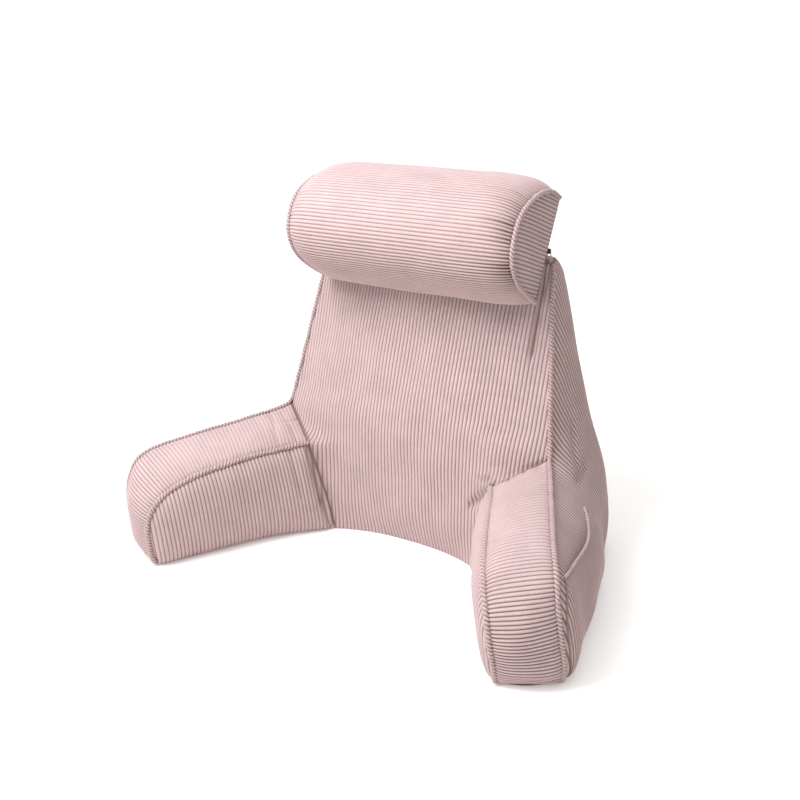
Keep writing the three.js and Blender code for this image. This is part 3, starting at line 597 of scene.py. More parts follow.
class Body:
    """Panels sewn into one closed surface."""

    def __init__(self):
        self.points, self.triangles, self.wale, self.weave = [], [], [], []
        self.count = 0
        self.offsets = {}

    def add(self, panel):
        """Takes a panel in, its places counted on from those before it."""
        self.offsets[id(panel)] = self.count
        self.points.append(panel.points)
        self.triangles.append(panel.triangles + self.count)
        self.wale.append(panel.wale)
        self.weave.append(panel.weave)
        self.count += len(panel.points)
        return panel

    def edge(self, panel, name, forward=True):
        """The body's places along one edge of a panel."""
        places = panel.edges[name][0] + self.offsets[id(panel)]
        return places if forward else places[::-1]

    def sew(self, left, right, name):
        """Closes the seam between two panels, left and right of it as seen from outside: each next sample
        of either side makes one triangle."""
        (ai, ash, _), (bi, bsh, _) = left.edges[name], right.edges[name]
        ai, bi = ai + self.offsets[id(left)], bi + self.offsets[id(right)]
        from_left = np.r_[np.ones(len(ash) - 1, bool), np.zeros(len(bsh) - 1, bool)]
        from_left = from_left[np.argsort(np.r_[ash[1:], bsh[1:]], kind="stable")]
        i = np.cumsum(from_left) - from_left
        j = np.cumsum(~from_left) - ~from_left
        tip = np.where(from_left, ai[np.minimum(i + 1, len(ai) - 1)], bi[np.minimum(j + 1, len(bi) - 1)])
        self.triangles.append(np.stack([ai[i], bi[j], tip], -1))

    def close(self, loop, centre):
        """Fills a loop of points, anticlockwise from outside, with triangles round one centre point."""
        loop = np.concatenate(loop)
        self.points.append(np.array([centre], float))
        # The unseen hub takes the painted shade of the seams' edges.
        self.wale.append(np.array([SEAM_EDGE_PAINTED_SHADE]))
        self.weave.append(np.zeros((1, 2)))
        hub = np.full(len(loop), self.count)
        self.count += 1
        self.triangles.append(np.stack([hub, loop, np.roll(loop, -1)], -1))

    def object(self, name, material, mirror=False):
        """The sewn body as a mesh, for the left side with x turned to -x."""
        points = np.concatenate(self.points)
        triangles = np.concatenate(self.triangles)
        if mirror:
            points = points * (-1, 1, 1)
            triangles = triangles[:, ::-1]
        return mesh_object(name, points, triangles, material, np.concatenate(self.wale),
                           np.concatenate(self.weave))


WELD = 1e-3      # points that round to the same place at this fineness are one


def mesh_object(name, points, triangles, material, wale=None, weave=None):
    """A mesh from points in millimetres. Equal points become one, and slivers of no width go."""
    keys = np.round(points * (1 / WELD)).astype(np.int64)
    _, first, back = np.unique(keys, axis=0, return_index=True, return_inverse=True)
    triangles = back.reshape(-1)[triangles]
    solid = ((triangles[:, 0] != triangles[:, 1]) & (triangles[:, 1] != triangles[:, 2])
             & (triangles[:, 2] != triangles[:, 0]))
    used, packed = np.unique(triangles[solid], return_inverse=True)
    triangles = packed.reshape(-1, 3)
    first = first[used]
    points = points[first] * MILLIMETRE

    mesh = bpy.data.meshes.new(name)
    mesh.vertices.add(len(points))
    mesh.vertices.foreach_set("co", points.astype(np.float32).ravel())
    mesh.loops.add(triangles.size)
    mesh.loops.foreach_set("vertex_index", triangles.astype(np.int32).ravel())
    mesh.polygons.add(len(triangles))
    mesh.polygons.foreach_set("loop_start", np.arange(0, triangles.size, 3, dtype=np.int32))
    mesh.polygons.foreach_set("use_smooth", np.ones(len(triangles), bool))
    mesh.update(calc_edges=True)
    mesh.validate()
    if wale is not None:
        layer = mesh.attributes.new("wale", "FLOAT", "POINT")
        layer.data.foreach_set("value", wale[first].astype(np.float32))
        uv = mesh.uv_layers.new(name="weave")
        corner = np.empty(len(mesh.loops), np.int32)
        mesh.loops.foreach_get("vertex_index", corner)
        uv.data.foreach_set("uv", weave[first][corner].astype(np.float32).ravel())
    mesh.materials.append(material)
    piece = bpy.data.objects.new(name, mesh)
    bpy.context.scene.collection.objects.link(piece)
    return piece


# ---- Sizes and colours that a user would change ----
class PillowSizes(bpy.types.PropertyGroup):
    """The cloth's and the corded edges' sizes"""
    wale_pitch: bpy.props.FloatProperty(
        name="Wale spacing", description="Distance from one wale to the next", default=0.0062,
        min=0.002, max=0.02, unit="LENGTH")
    wale_depth: bpy.props.FloatProperty(
        name="Wale depth", description="Height of a wale above its groove", default=0.0017,
        min=0.0, max=0.005, unit="LENGTH")
    welt_radius: bpy.props.FloatProperty(
        name="Welt radius", description="Radius of the corded edges", default=0.0031,
        min=0.001, max=0.008, unit="LENGTH")
    bead_spacing: bpy.props.FloatProperty(
        name="Bead spacing", description="Distance between the wales round a corded edge", default=0.0058,
        min=0.002, max=0.02, unit="LENGTH")


class PillowColours(bpy.types.PropertyGroup):
    """The pile's and the floor's colours"""
    crest: bpy.props.FloatVectorProperty(
        name="Wale crest", description="Colour of the pile on a wale", subtype="COLOR", size=3,
        default=(0.50, 0.374, 0.370), min=0, max=1)
    groove: bpy.props.FloatVectorProperty(
        name="Groove", description="Colour between the wales", subtype="COLOR", size=3,
        default=(0.25, 0.168, 0.157), min=0, max=1)
    floor: bpy.props.FloatVectorProperty(
        name="Floor", description="Colour of the floor and the backdrop", subtype="COLOR", size=3,
        default=(0.9, 0.89, 0.87), min=0, max=1)


# ---- Materials ----
class Nodes:
    """Adds and links shader nodes."""

    def __init__(self, name):
        self.material = bpy.data.materials.new(name)
        self.material.use_nodes = True
        self.tree = self.material.node_tree
        self.shader = self.tree.nodes["Principled BSDF"]

    def add(self, kind, inputs=None, **settings):
        """A node of a kind, its inputs linked to sockets or set to values."""
        node = self.tree.nodes.new("ShaderNode" + kind)
        for key, value in settings.items():
            setattr(node, key, value)
        for key, value in (inputs or {}).items():
            if isinstance(value, bpy.types.NodeSocket):
                self.tree.links.new(value, node.inputs[key])
            else:
                node.inputs[key].default_value = value
        return node

    def mix(self, factor, low, high):
        """A colour between two, by a factor."""
        node = self.add("Mix", {"Factor": factor}, data_type="RGBA")
        node.inputs["A"].default_value, node.inputs["B"].default_value = (*low, 1), (*high, 1)
        return node.outputs["Result"]

    def link(self, output, socket):
        """Joins an output to a socket of the surface's shader."""
        self.tree.links.new(output, self.shader.inputs[socket])

    def set(self, **values):
        """Sets the surface shader's own sockets, their spaces written as underscores."""
        for name, value in values.items():
            self.shader.inputs[name.replace("_", " ")].default_value = value


def corduroy(name):
    """Pile on wales: the groove's colour turns to the crest's by the wale attribute, times a fine grain and
    soft blotches, with a short sheen."""
    if name in bpy.data.materials:
        return bpy.data.materials[name]
    nodes = Nodes(name)
    shade = bpy.context.scene.pillow_colours
    # The wale attribute holds each wale's tone with the painted shade of seams, gathers and creases.
    wale = nodes.add("Attribute", attribute_name="wale").outputs["Fac"]
    place = nodes.add("TexCoord").outputs["Object"]
    grain = nodes.add("TexNoise", {"Vector": place, "Scale": 900.0, "Detail": 2.0, "Roughness": 0.6})
    blotch = nodes.add("TexNoise", {"Vector": place, "Scale": 28.0, "Detail": 3.0, "Roughness": 0.55})
    lit = nodes.add("MapRange", {"Value": wale, "From Min": 0.0, "From Max": 0.85},
                    interpolation_type="SMOOTHSTEP")
    base = nodes.mix(lit.outputs["Result"], shade.groove, shade.crest)
    speck = nodes.add("MapRange", {"Value": grain.outputs["Fac"], "From Min": 0.3, "From Max": 0.7,
                                   "To Min": 0.86, "To Max": 1.10})
    soft = nodes.add("MapRange", {"Value": blotch.outputs["Fac"], "From Min": 0.3, "From Max": 0.7,
                                  "To Min": 0.95, "To Max": 1.05})
    strength = nodes.add("Math", {0: speck.outputs["Result"], 1: soft.outputs["Result"]},
                         operation="MULTIPLY")
    tone = nodes.add("VectorMath", {0: base, "Scale": strength.outputs["Value"]},
                     operation="SCALE")
    nodes.link(tone.outputs["Vector"], "Base Color")
    bump = nodes.add("Bump", {"Height": grain.outputs["Fac"], "Strength": 0.35, "Distance": 0.0008})
    nodes.link(bump.outputs["Normal"], "Normal")
    nodes.set(Roughness=0.95, Specular_IOR_Level=0.12, Sheen_Weight=0.08, Sheen_Roughness=0.4,
              Sheen_Tint=(1.0, 0.9, 0.9, 1))
    return nodes.material


def hard(name, colour, metallic, roughness, scale):
    """Nylon or steel: noise mixes the colour with 0.8 of it, and adds up to 0.2 to the roughness."""
    if name in bpy.data.materials:
        return bpy.data.materials[name]
    nodes = Nodes(name)
    place = nodes.add("TexCoord").outputs["Object"]
    noise = nodes.add("TexNoise", {"Vector": place, "Scale": scale, "Detail": 3.0})
    nodes.link(nodes.mix(noise.outputs["Fac"], [0.8 * c for c in colour], colour), "Base Color")
    rough = nodes.add("MapRange", {"Value": noise.outputs["Fac"], "To Min": roughness,
                                   "To Max": roughness + 0.2})
    nodes.link(rough.outputs["Result"], "Roughness")
    nodes.set(Metallic=metallic)
    return nodes.material


# ---- The filled bodies' panels ----
def swollen(name):
    """A plain panel's shape: spanned between its seams, plus each swell's size times its rise."""
    def shape(a, b, depth, base):
        for size, edge in SWELLS[name]:
            base = base + size * rise(depth, edge)
        return base
    return shape


def front_panel():
    """The backrest's front: the front's own y, and beside the seams a roll of cloth that falls off as
    exp(-depth / reach)."""
    roll, roll_reach, roll_edge = 2.4, 7.0, 1.5

    def shape(a, b, depth, base):
        return -front_y(a, b) + roll * np.exp(-depth / roll_reach) * rise(depth, roll_edge)
    face = Face([("front_floor", True), ("joint_r", True), ("root_r", True), ("cord_r", False),
                 ("top_front", False), ("cord_l", True), ("root_l", False), ("joint_l", False)],
                [(1, 0, 0), (0, 0, 1), (0, -1, 0)], shape, CREASES["front"])
    return cut_panel(face, rows=52, seed=SEEDS["front"])


def back_panel():
    """The backrest's back: the rear seams' y by height, a swell by the cosine of the share across, and a
    puff at the seams."""
    rear = np.array(SEAM_ROWS["rear"], float)
    swell = np.array(BACK_SWELL_ROWS, float)
    puff, puff_edge = 2.5, 8.0

    def shape(a, b, depth, base):
        half = np.interp(b, rear[:, 2], rear[:, 0])
        hump = np.cos(np.clip(a / half, -1, 1) * math.pi / 2)
        return (hermite(rear[:, 2], rear[:, 1], b) + PATTERN_SHIFT
                + hermite(swell[:, 0], swell[:, 1], b) * hump + puff * rise(depth, puff_edge))
    face = Face([("back_floor", True), ("rear_l", True), ("top_rear", True), ("rear_r", False)],
                [(-1, 0, 0), (0, 0, 1), (0, 1, 0)], shape)
    return cut_panel(face, rows=40, seed=SEEDS["back"])


def top_face():
    """The backrest's top, swollen, its wales running backwards."""
    return Face([("top_front", True), ("top_side_r", True), ("top_rear", False), ("top_side_l", False)],
                [(1, 0, 0), (0, 1, 0), (0, 0, 1)], swollen("top"))


# The outer panels' wales lean forwards from upright, and stand wider apart than the front's.
OUTER_LEAN = math.atan2(0.359, 0.934)
OUTER_SPACING = 1.05
OUTER_SWELL, OUTER_SWELL_EDGE = 21, 42
# Between these heights the backrest's side takes over from the arm's. Down at the arm the swell's edge is
# shorter by the second number, and a puff stands beside the seams.
OUTER_ARM, OUTER_ARM_CLOSER = (120, 230), 16
OUTER_PUFF, OUTER_PUFF_EDGE = 5, 6.0
# The arm's belly: how far it stands out, its place and its reach ahead and up, and its edge.
BELLY, BELLY_PLACE, BELLY_REACH, BELLY_EDGE = 16, (-75, 110), (85, 65), 12.0


def outer_face(side):
    """The side of the backrest and the arm's outer side, in one piece. It swells slowly from its edges
    beside the backrest and at once beside the arm, whose belly is a bell round its place."""
    y, z = math.cos(OUTER_LEAN), math.sin(OUTER_LEAN)

    def shape(a, b, depth, base):
        ahead, up = a * y - b * z - PATTERN_SHIFT, a * z + b * y
        arm = 1 - smoothstep(up, *OUTER_ARM)
        belly = BELLY * np.exp(-((ahead - BELLY_PLACE[0]) / BELLY_REACH[0]) ** 2
                               - ((up - BELLY_PLACE[1]) / BELLY_REACH[1]) ** 2) * rise(depth, BELLY_EDGE)
        return (base + (OUTER_SWELL + arm) * rise(depth, OUTER_SWELL_EDGE - OUTER_ARM_CLOSER * arm)
                + OUTER_PUFF * arm * rise(depth, OUTER_PUFF_EDGE) + belly)
    return Face([("floor_outer_r", True), ("rear_r", True), ("top_side_r", False), ("cord_r", True),
                 ("outer_r", True)], [(0, y, z), (0, -z, y), (1, 0, 0)], shape,
                CREASES.get("outer_" + side, ()))


def outer_panel(side):
    """The outer panel, its wales lower than the front's and its grooves painted wider and darker, as
    painted shade.
    """
    return cut_panel(outer_face(side), rows=44, spacing=OUTER_SPACING, seed=SEEDS["outer_" + side],
                     crest_sharpness=3.0, relief=0.8)


ARM_AHEAD = np.array([162, -262, 0]) / math.hypot(162, 262)      # the way the arm's inner side runs
ARM_INWARD = np.array([ARM_AHEAD[1], -ARM_AHEAD[0], 0])
INNER_LEAN = math.radians(-7)      # of its wales, from upright


def inner_panel(side):
    """The arm's inner side, swollen, its wales nearly upright."""
    up = np.array([0, 0, 1])
    across = ARM_AHEAD * math.cos(INNER_LEAN) + up * math.sin(INNER_LEAN)
    along = -ARM_AHEAD * math.sin(INNER_LEAN) + up * math.cos(INNER_LEAN)
    face = Face([("floor_inner_r", True), ("inner_r", False), ("joint_r", False)],
                [across, along, ARM_INWARD], swollen("inner"), CREASES.get("inner_" + side, ()))
    return cut_panel(face, rows=22, spacing=1.03, seed=SEEDS["inner_" + side])


STRIP_WIDTH = 92.0
STRIP_STEPS = 400      # along it, to count its wales
STRIP_MIDDLE_ROWS = 16
# Each side's wale spacing over the arm and down its front, and the shares of its length it turns between.
STRIP_SPACING = {"right": (1.17, 0.82), "left": (1.03, 0.82)}
STRIP_SPACING_TURN = (0.45, 0.62)
# Each side's crest sharpness over the arm and down its front, then its relief over and down, and their
# turn.
# The sharper crests down the front paint it darker than the top, and the left's softer ones paint its strip
# lighter than the right's: painted light and shade.
STRIP_PILE = {"right": ((0.5, 2.0), (0.5, 1.4)), "left": ((0.25, 1.6), (0.42, 1.2))}
STRIP_PILE_TURN = (0.42, 0.85)
# Strength and reach of the gathers at its side seams, its root and the floor, and the spacing of the
# last two, which run along it.
STRIP_SIDE_GATHERS, STRIP_ROOT_GATHERS, STRIP_FLOOR_GATHERS = (0.9, 12.0), (2.6, 22.0), (1.2, 10.0)
STRIP_GATHER_SPACING = 9.0
STRIP_SWELL, STRIP_SWELL_END = 8.0, 40      # at its middle, and how far from its ends it is full
STRIP_PUFF, STRIP_PUFF_EDGE = 5.0, 4.0
FOLD_SOFTNESS = (0.15, 0.05)      # of a fold's ends, outwards and inwards, as shares of the strip's width


def strip_panel(side):
    """The strip over the arm and down its front, with its wales across: straight lines between paired
    places of the arm's two seams, swollen by the sine of the share across. The depth is one over the root
    of the sum of 1 / distance^2 from its sides and from its ends."""
    inner, outer = SEAMS["inner_r"], SEAMS["outer_r"]
    pairs = np.array(STRIP_PAIRS, float)
    length = (inner.length + outer.length) / 2
    places = np.linspace(0, 1, STRIP_STEPS + 1)
    over, down = STRIP_SPACING[side]
    pitch = sizes_mm("wale_pitch")
    spacing = pitch * (over + (down - over) * smoothstep(places, *STRIP_SPACING_TURN))
    counted = np.r_[0, np.cumsum(length / STRIP_STEPS / spacing[1:])]
    wales = round(counted[-1])
    phase = wale_rows(wales)
    run = np.interp(phase * counted[-1] / wales, counted, places)
    middle = pairs.mean(1)
    inner_share = np.clip(hermite(middle, pairs[:, 0], run), 0, 1)
    outer_share = np.clip(hermite(middle, pairs[:, 1], run), 0, 1)
    inner_share[[0, -1]] = outer_share[[0, -1]] = 0, 1
    near = EDGE_ROWS / STRIP_WIDTH
    v = np.r_[near, np.linspace(near[-1], 1 - near[-1], STRIP_MIDDLE_ROWS)[1:-1], (1 - near)[::-1]]
    flat = inner.at(inner_share)[:, None] * (1 - v[:, None]) + outer.at(outer_share)[:, None] * v[:, None]
    # The first and last wales' ends lie on the root and floor seams themselves.
    flat[0], flat[-1] = SEAMS["root_r"].at(v), SEAMS["floor_front_r"].at(v)
    phase = phase[:, None] + 0 * v
    run, v = run[:, None] + 0 * v, v + 0 * run[:, None]

    from_inner, from_outer = v * STRIP_WIDTH, (1 - v) * STRIP_WIDTH
    from_root, from_floor = run * length, (1 - run) * length
    from_sides, from_ends = np.minimum(v, 1 - v) * STRIP_WIDTH, np.minimum(from_root, from_floor)
    depth = 1 / np.sqrt(1 / np.maximum(from_sides, 1e-6) ** 2 + 1 / np.maximum(from_ends, 1e-6) ** 2)
    depth[:, [0, -1]] = 0
    depth[[0, -1]] = 0
    swell = STRIP_SWELL * np.sin(math.pi * v) * smoothstep(from_ends, 0, STRIP_SWELL_END)
    puff = swell + STRIP_PUFF * rise(depth, STRIP_PUFF_EDGE)
    points = flat + surface_normals(flat) * puff[..., None]

    seed, beside = SEEDS["strip_" + side], from_inner / STRIP_GATHER_SPACING
    lift = (gathers(phase, from_inner, *STRIP_SIDE_GATHERS, seed)
            + gathers(phase, from_outer, *STRIP_SIDE_GATHERS, seed + 1)
            + gathers(beside, from_root, *STRIP_ROOT_GATHERS, seed + 2)
            + gathers(beside, from_floor, *STRIP_FLOOR_GATHERS, seed + 3))
    folds = np.zeros_like(lift)
    before, after = FOLD_SOFTNESS
    for place, start, end, slant, wide, deep in STRIP_FOLDS[side]:
        reach = (smoothstep(v, start - before, start + after)
                 * (1 - smoothstep(v, end - after, end + before)))
        bell = np.exp(-((from_root - place - slant * (v - 0.5)) / wide) ** 2)
        folds = folds + deep * bell * reach * rise(depth, CREASE_EDGE)

    # All the rows or columns, and the row about as far in from an end as the others are from a side.
    every, rows_in = slice(None), 12
    edges = grid_edges(points.shape[:2], [
        ("inner_r", (every, 0), (every, FURTHER_IN), inner_share),
        ("outer_r", (every, -1), (every, -1 - FURTHER_IN), outer_share),
        ("root_r", (0, every), (rows_in, every), v[0]),
        ("floor_front_r", (-1, every), (-1 - rows_in, every), v[0])])
    # Painted light and shade: the tone turns from lighter over the arm to darker down its front.
    turn = smoothstep(run, *STRIP_PILE_TURN)
    crest_sharpness, relief = (over + (down - over) * turn for over, down in STRIP_PILE[side])
    return Panel(points, phase, from_inner / pitch, depth, lift, edges, folds, crest_sharpness=crest_sharpness, relief=relief)


BOLSTER_SPACING = 0.79
BOLSTER_FILL_EDGE = 17.0
BOLSTER_REST = 4.5      # the bolster's base face stands this far before the backrest's
BOLSTER_FREE = 490      # from this height on, nothing stands behind it
# How far its section's corners round off where it is fullest, in its grid's rows, and where that ends.
BOLSTER_ROUNDING, BOLSTER_ROUNDING_REACH = 14.0, 60
# Distances from its ends where its grid's columns lie.
BOLSTER_COLUMNS = np.r_[EDGE_ROWS, 12, 16, 20, 25, 30, 36, 43, 51, 61, 73, 88, 105, 125, 147, 169,
                        BOLSTER_HALF]
# Strength and reach of its gathers, and how far from the right end the deeper wales and painted shade
# beside them reach.
BOLSTER_GATHERS = {"right": (3.6, 26.0), "left": (1.2, 14.0)}
BOLSTER_PULL = 20.0
# Crest sharpness and relief of its pile on top, and what they gain underneath and beside the right end's
# gathers. The sharper crests there are painted shade.
BOLSTER_CREST_SHARPNESS, BOLSTER_RELIEF = (0.5, 1.1, 1.4), (0.54, 0.28, 0.7)
BOLSTER_UNDER = (0.45, 0.8)      # shares of its front's wales between which its underside begins


def bolster_fill(x):
    """How full the bolster is: 0 at its end seams, and nearly 1 a hand's breadth in."""
    return rise(BOLSTER_HALF - np.abs(x), BOLSTER_FILL_EDGE)


def bolster_wrap():
    """The bolster's cover, round it from the back's upper edge over the front, under and up the back.
    Its wales run from end to end. Towards the middle its section grows and its corners round off: a point
    is its place on the end's section, times one less the fill, plus its place on the full one, times the
    fill."""
    front, back = SEAMS["end_front_r"], SEAMS["end_back_r"]
    pitch = BOLSTER_SPACING * sizes_mm("wale_pitch")
    front_wales, back_wales = round(front.length / pitch), round(back.length / pitch)
    wales = front_wales + back_wales
    phase = wale_rows(wales)
    front_rows = phase <= front_wales
    section = np.where(front_rows[:, None], front.at(phase / front_wales),
                       back.at((phase - front_wales) / back_wales))
    sin, cos = math.sin(BOLSTER_LEAN), math.cos(BOLSTER_LEAN)
    y, z = section[:, 1] - BOLSTER_FOOT[0] - PATTERN_SHIFT, section[:, 2] - BOLSTER_FOOT[1]
    up, ahead = y * sin + z * cos, z * sin - y * cos

    def rounded(values):
        """The section's values with its corners rounded: each row's mean with its neighbours, by a bell."""
        rows = np.concatenate([values[:-1]] * 3)
        reach = BOLSTER_ROUNDING_REACH
        bell = np.exp(-0.5 * (np.arange(-reach, reach + 1) / BOLSTER_ROUNDING) ** 2)
        wide = np.convolve(rows, bell / bell.sum(), mode="same")
        return wide[len(values) - 1:2 * len(values) - 1]
    share = up / BOLSTER_CHORD
    full_up = rounded(up - BOLSTER_SWELL["down"] + (BOLSTER_SWELL["down"] + BOLSTER_SWELL["up"]) * share)
    behind = BOLSTER_SWELL["back"] * np.sin(math.pi * np.clip(share, 0, 1))
    before = ahead * (1 + BOLSTER_SWELL["forward"] / ahead.max())
    full_ahead = rounded(np.where(front_rows, before, -behind))

    x = np.r_[BOLSTER_COLUMNS - BOLSTER_HALF, (BOLSTER_HALF - BOLSTER_COLUMNS[:-1])[::-1]]
    fill = bolster_fill(x)
    up = up[:, None] * (1 - fill) + full_up[:, None] * fill
    ahead = ahead[:, None] * (1 - fill) + full_ahead[:, None] * fill
    points = bolster_point(x, up, ahead)
    rest = front_y(points[..., 0], np.minimum(points[..., 2], BACKREST_TOP)) - BOLSTER_REST
    low = points[..., 2] < BOLSTER_FREE
    points[..., 1] = np.where(low, np.minimum(points[..., 1], rest), points[..., 1])

    from_end = (BOLSTER_HALF - np.abs(x)) + 0 * up
    phase = phase[:, None] + 0 * x
    turned = np.where(phase > wales - 0.5, phase - wales, phase)
    lift = np.where(x > 0, gathers(turned, from_end, *BOLSTER_GATHERS["right"], SEEDS["bolster_right"]),
                    gathers(turned, from_end, *BOLSTER_GATHERS["left"], SEEDS["bolster_left"]))
    # The wales are lower on top than underneath and beside the right end's gathers, and their crests there
    # are
    # sharper: painted shade on the underside and in the gathers.
    start, full = (place * front_wales for place in BOLSTER_UNDER)
    under = smoothstep(phase, start, full) * (1 - smoothstep(phase, front_wales, wales - 1))
    pulled = np.exp(-from_end / BOLSTER_PULL) * (x > 0)
    crest_sharpness, relief = (top + more_under * under + more_pulled * pulled
                    for top, more_under, more_pulled in (BOLSTER_CREST_SHARPNESS, BOLSTER_RELIEF))
    # Rows past either end of the wrap, so that the normals run on round the cover.
    count, width, past = len(points), len(x), 3
    around = np.r_[-past:0, np.arange(count), 1:past + 1]
    around[:past] += count - 1
    panel = Panel(points[around], phase[around], (x / pitch) + 0 * phase[around], from_end[around],
                  lift[around], {}, crest_sharpness=crest_sharpness[around], relief=relief[around], waves=0.4)
    panel.grid = panel.grid[past:-past]
    panel.wale = panel.wale.reshape(-1, width)[past:-past].ravel()
    panel.weave = panel.weave.reshape(-1, width, 2)[past:-past].reshape(-1, 2)
    panel.triangles = grid_triangles(count, width)

    upper, lower = np.nonzero(front_rows)[0], np.arange(front_wales * len(WALE_PLACES), count)
    shares = phase[:, 0]
    upper_shares, lower_shares = shares[upper] / front_wales, (shares[lower] - front_wales) / back_wales
    panel.edges = grid_edges((count, width), [
        (name + end, (rows, column), (rows, inwards), at)
        for end, column, inwards in (("_r", -1, -1 - FURTHER_IN), ("_l", 0, FURTHER_IN))
        for name, rows, at in (("end_front", upper, upper_shares), ("end_back", lower, lower_shares))])
    return panel


END_LEAN = math.radians(18)      # of the end panels' wales, upwards from level


def bolster_end():
    """The bolster's end, swollen, its wales running forwards and rising."""
    sin, cos = math.sin(END_LEAN), math.cos(END_LEAN)
    face = Face([("end_front_r", True), ("end_back_r", True)],
                [(0, sin, cos), (0, -cos, sin), (1, 0, 0)], swollen("bolster_end"))
    return cut_panel(face, rows=14, spacing=0.94, seed=SEEDS["bolster_end"], crest_sharpness=1.5)


# ---- Bodies ----
# Inner places, of the right side, round which the bodies' unseen walls and bases close.
HUBS = {"arm_wall": (223, 60, 150), "arm_base": (268, -60, 0), "backrest_wall": (217, 60, 150),
        "backrest_base": (0, 60, 0)}


def arm_body(side):
    """An arm with the backrest's side, made as the right one, and its panels by name."""
    body = Body()
    outer, strip, inner = (body.add(make(side)) for make in (outer_panel, strip_panel, inner_panel))
    body.sew(outer, strip, "outer_r")
    body.sew(strip, inner, "inner_r")
    body.close([body.edge(inner, "joint_r"), body.edge(strip, "root_r"), body.edge(outer, "cord_r", False),
                body.edge(outer, "top_side_r"), body.edge(outer, "rear_r", False)],
               placed(HUBS["arm_wall"]))
    body.close([body.edge(outer, "floor_outer_r", False), body.edge(strip, "floor_front_r", False),
                body.edge(inner, "floor_inner_r", False)], placed(HUBS["arm_base"]))
    return body, {"outer": outer, "strip": strip, "inner": inner}


def backrest_body():
    """The backrest's front, top and back, closed by unseen walls inside the arms' covers."""
    body = Body()
    top = cut_panel(top_face(), rows=14, seed=SEEDS["top"])
    front, top, back = body.add(front_panel()), body.add(top), body.add(back_panel())
    body.sew(top, front, "top_front")
    body.sew(back, top, "top_rear")
    hub = placed(HUBS["backrest_wall"])
    body.close([body.edge(back, "rear_r"), body.edge(top, "top_side_r", False), body.edge(front, "cord_r"),
                body.edge(front, "root_r", False), body.edge(front, "joint_r", False)], hub)
    body.close([body.edge(front, "joint_l"), body.edge(front, "root_l"), body.edge(front, "cord_l", False),
                body.edge(top, "top_side_l"), body.edge(back, "rear_l", False)], hub * (-1, 1, 1))
    body.close([body.edge(front, "front_floor", False), body.edge(back, "back_floor", False)],
               placed(HUBS["backrest_base"]))
    return body


def bolster_body():
    """The bolster's wrap between its two ends, and its panels by name."""
    body = Body()
    wrap, right = body.add(bolster_wrap()), bolster_end()
    left = body.add(right.mirrored())
    body.add(right)
    for name in ("end_front", "end_back"):
        body.sew(right, wrap, name + "_r")
        body.sew(wrap, left, name + "_l")
    return body, {"wrap": wrap, "end_right": right}


# ---- Welts ----
def outward(seam, panels, name):
    """Which way a seam points, at its samples: the mean of the panels' own outward directions a few rows
    in."""
    total = np.zeros((len(seam.points), 3))
    for panel in panels:
        _, shares, inwards = panel.edges[name]
        normals = surface_normals(panel.grid).reshape(-1, 3)[inwards]
        total += np.stack([np.interp(seam.shares, shares, normals[:, k]) for k in range(3)], -1)
    return unit(total)


def tube(path, radius, one, other, angle):
    """Rings of points round a path: at each angle t the path, plus the radius times
    (cos t one + sin t other)."""
    cos, sin = np.cos(angle)[:, None], np.sin(angle)[:, None]
    return path[:, None] + np.asarray(radius)[..., None] * (cos * one[:, None] + sin * other[:, None])


WINDS = 2      # wales that wind round a cord side by side
BEAD_HEIGHT = 0.6      # a share of the cord's radius
BEAD_MIDDLE = 0.6      # of the wale's height, where the cord has its own radius
BEAD_LEAST, BEAD_CHANCE = 0.65, 0.7      # of its full height, a bead's least and what chance adds
BEAD_RINGS, ROPE_SIDES, DOME_RINGS = 7, 16, 4


def rope(name, path, out, radius, material):
    """A cord in a sleeve of corduroy: a tube whose wales wind round it, and whose ends close in a dome.

    At angle t round the cord and distance s along it, the radius is the cord's, times one plus a share of
    the wale's height at s / spacing + WINDS t / (2 pi)."""
    run = np.r_[0, np.cumsum(np.linalg.norm(np.diff(path, axis=0), axis=1))]
    spacing = sizes_mm("bead_spacing")
    s = np.linspace(0, run[-1], int(run[-1] / spacing * BEAD_RINGS))
    ends = radius * (1 - np.cos(np.linspace(0, math.pi / 2, DOME_RINGS + 1)))
    s = np.unique(np.r_[s[(s > radius) & (s < run[-1] - radius)], ends, run[-1] - ends])
    centre = np.stack([np.interp(s, run, path[:, k]) for k in range(3)], -1)
    normal = np.stack([np.interp(s, run, out[:, k]) for k in range(3)], -1)
    tangent = unit(np.gradient(centre, s, axis=0))
    side = unit(np.cross(tangent, normal))
    normal = np.cross(side, tangent)
    angle = np.linspace(0, 2 * math.pi, ROPE_SIDES + 1)
    phase = s[:, None] / spacing + WINDS * angle / (2 * math.pi)
    profile = wale_height(phase)
    chance = np.random.default_rng(len(s)).random(int(s[-1] / spacing) + 2)
    uneven = BEAD_LEAST + BEAD_CHANCE * np.interp(s / spacing, np.arange(len(chance)), chance)[:, None]
    from_end = np.minimum(s, run[-1] - s)[:, None]
    dome = np.sqrt(np.clip(1 - np.clip(1 - from_end / radius, 0, 1) ** 2, 0, 1))
    thick = radius * (1 + BEAD_HEIGHT * (profile * uneven - BEAD_MIDDLE)) * dome
    points = tube(centre, thick, normal, side, angle)
    weave = np.stack([phase, angle * radius + 0 * phase], -1).reshape(-1, 2)
    return mesh_object(name, points.reshape(-1, 3), grid_triangles(*points.shape[:2])[:, ::-1], material,
                       (profile ** 2).ravel(), weave)


PATH_STEP = 0.2      # closer samples of two seams count as one
PATH_SPREAD, OUT_SPREAD = 6.0, 10.0      # smoothing of a welt's path, and of its outward directions


def welt_path(parts, lift):
    """A path along several seams in turn, each point moved out along its direction by the lift.
    parts lists (seam, outward directions)."""
    points = np.concatenate([seam.points for seam, _ in parts])
    out = np.concatenate([directions for _, directions in parts])
    keep = np.r_[True, np.linalg.norm(np.diff(points, axis=0), axis=1) > PATH_STEP]
    points, out = points[keep], unit(smoothed(out[keep], OUT_SPREAD))
    return smoothed(points + out * lift, PATH_SPREAD), out


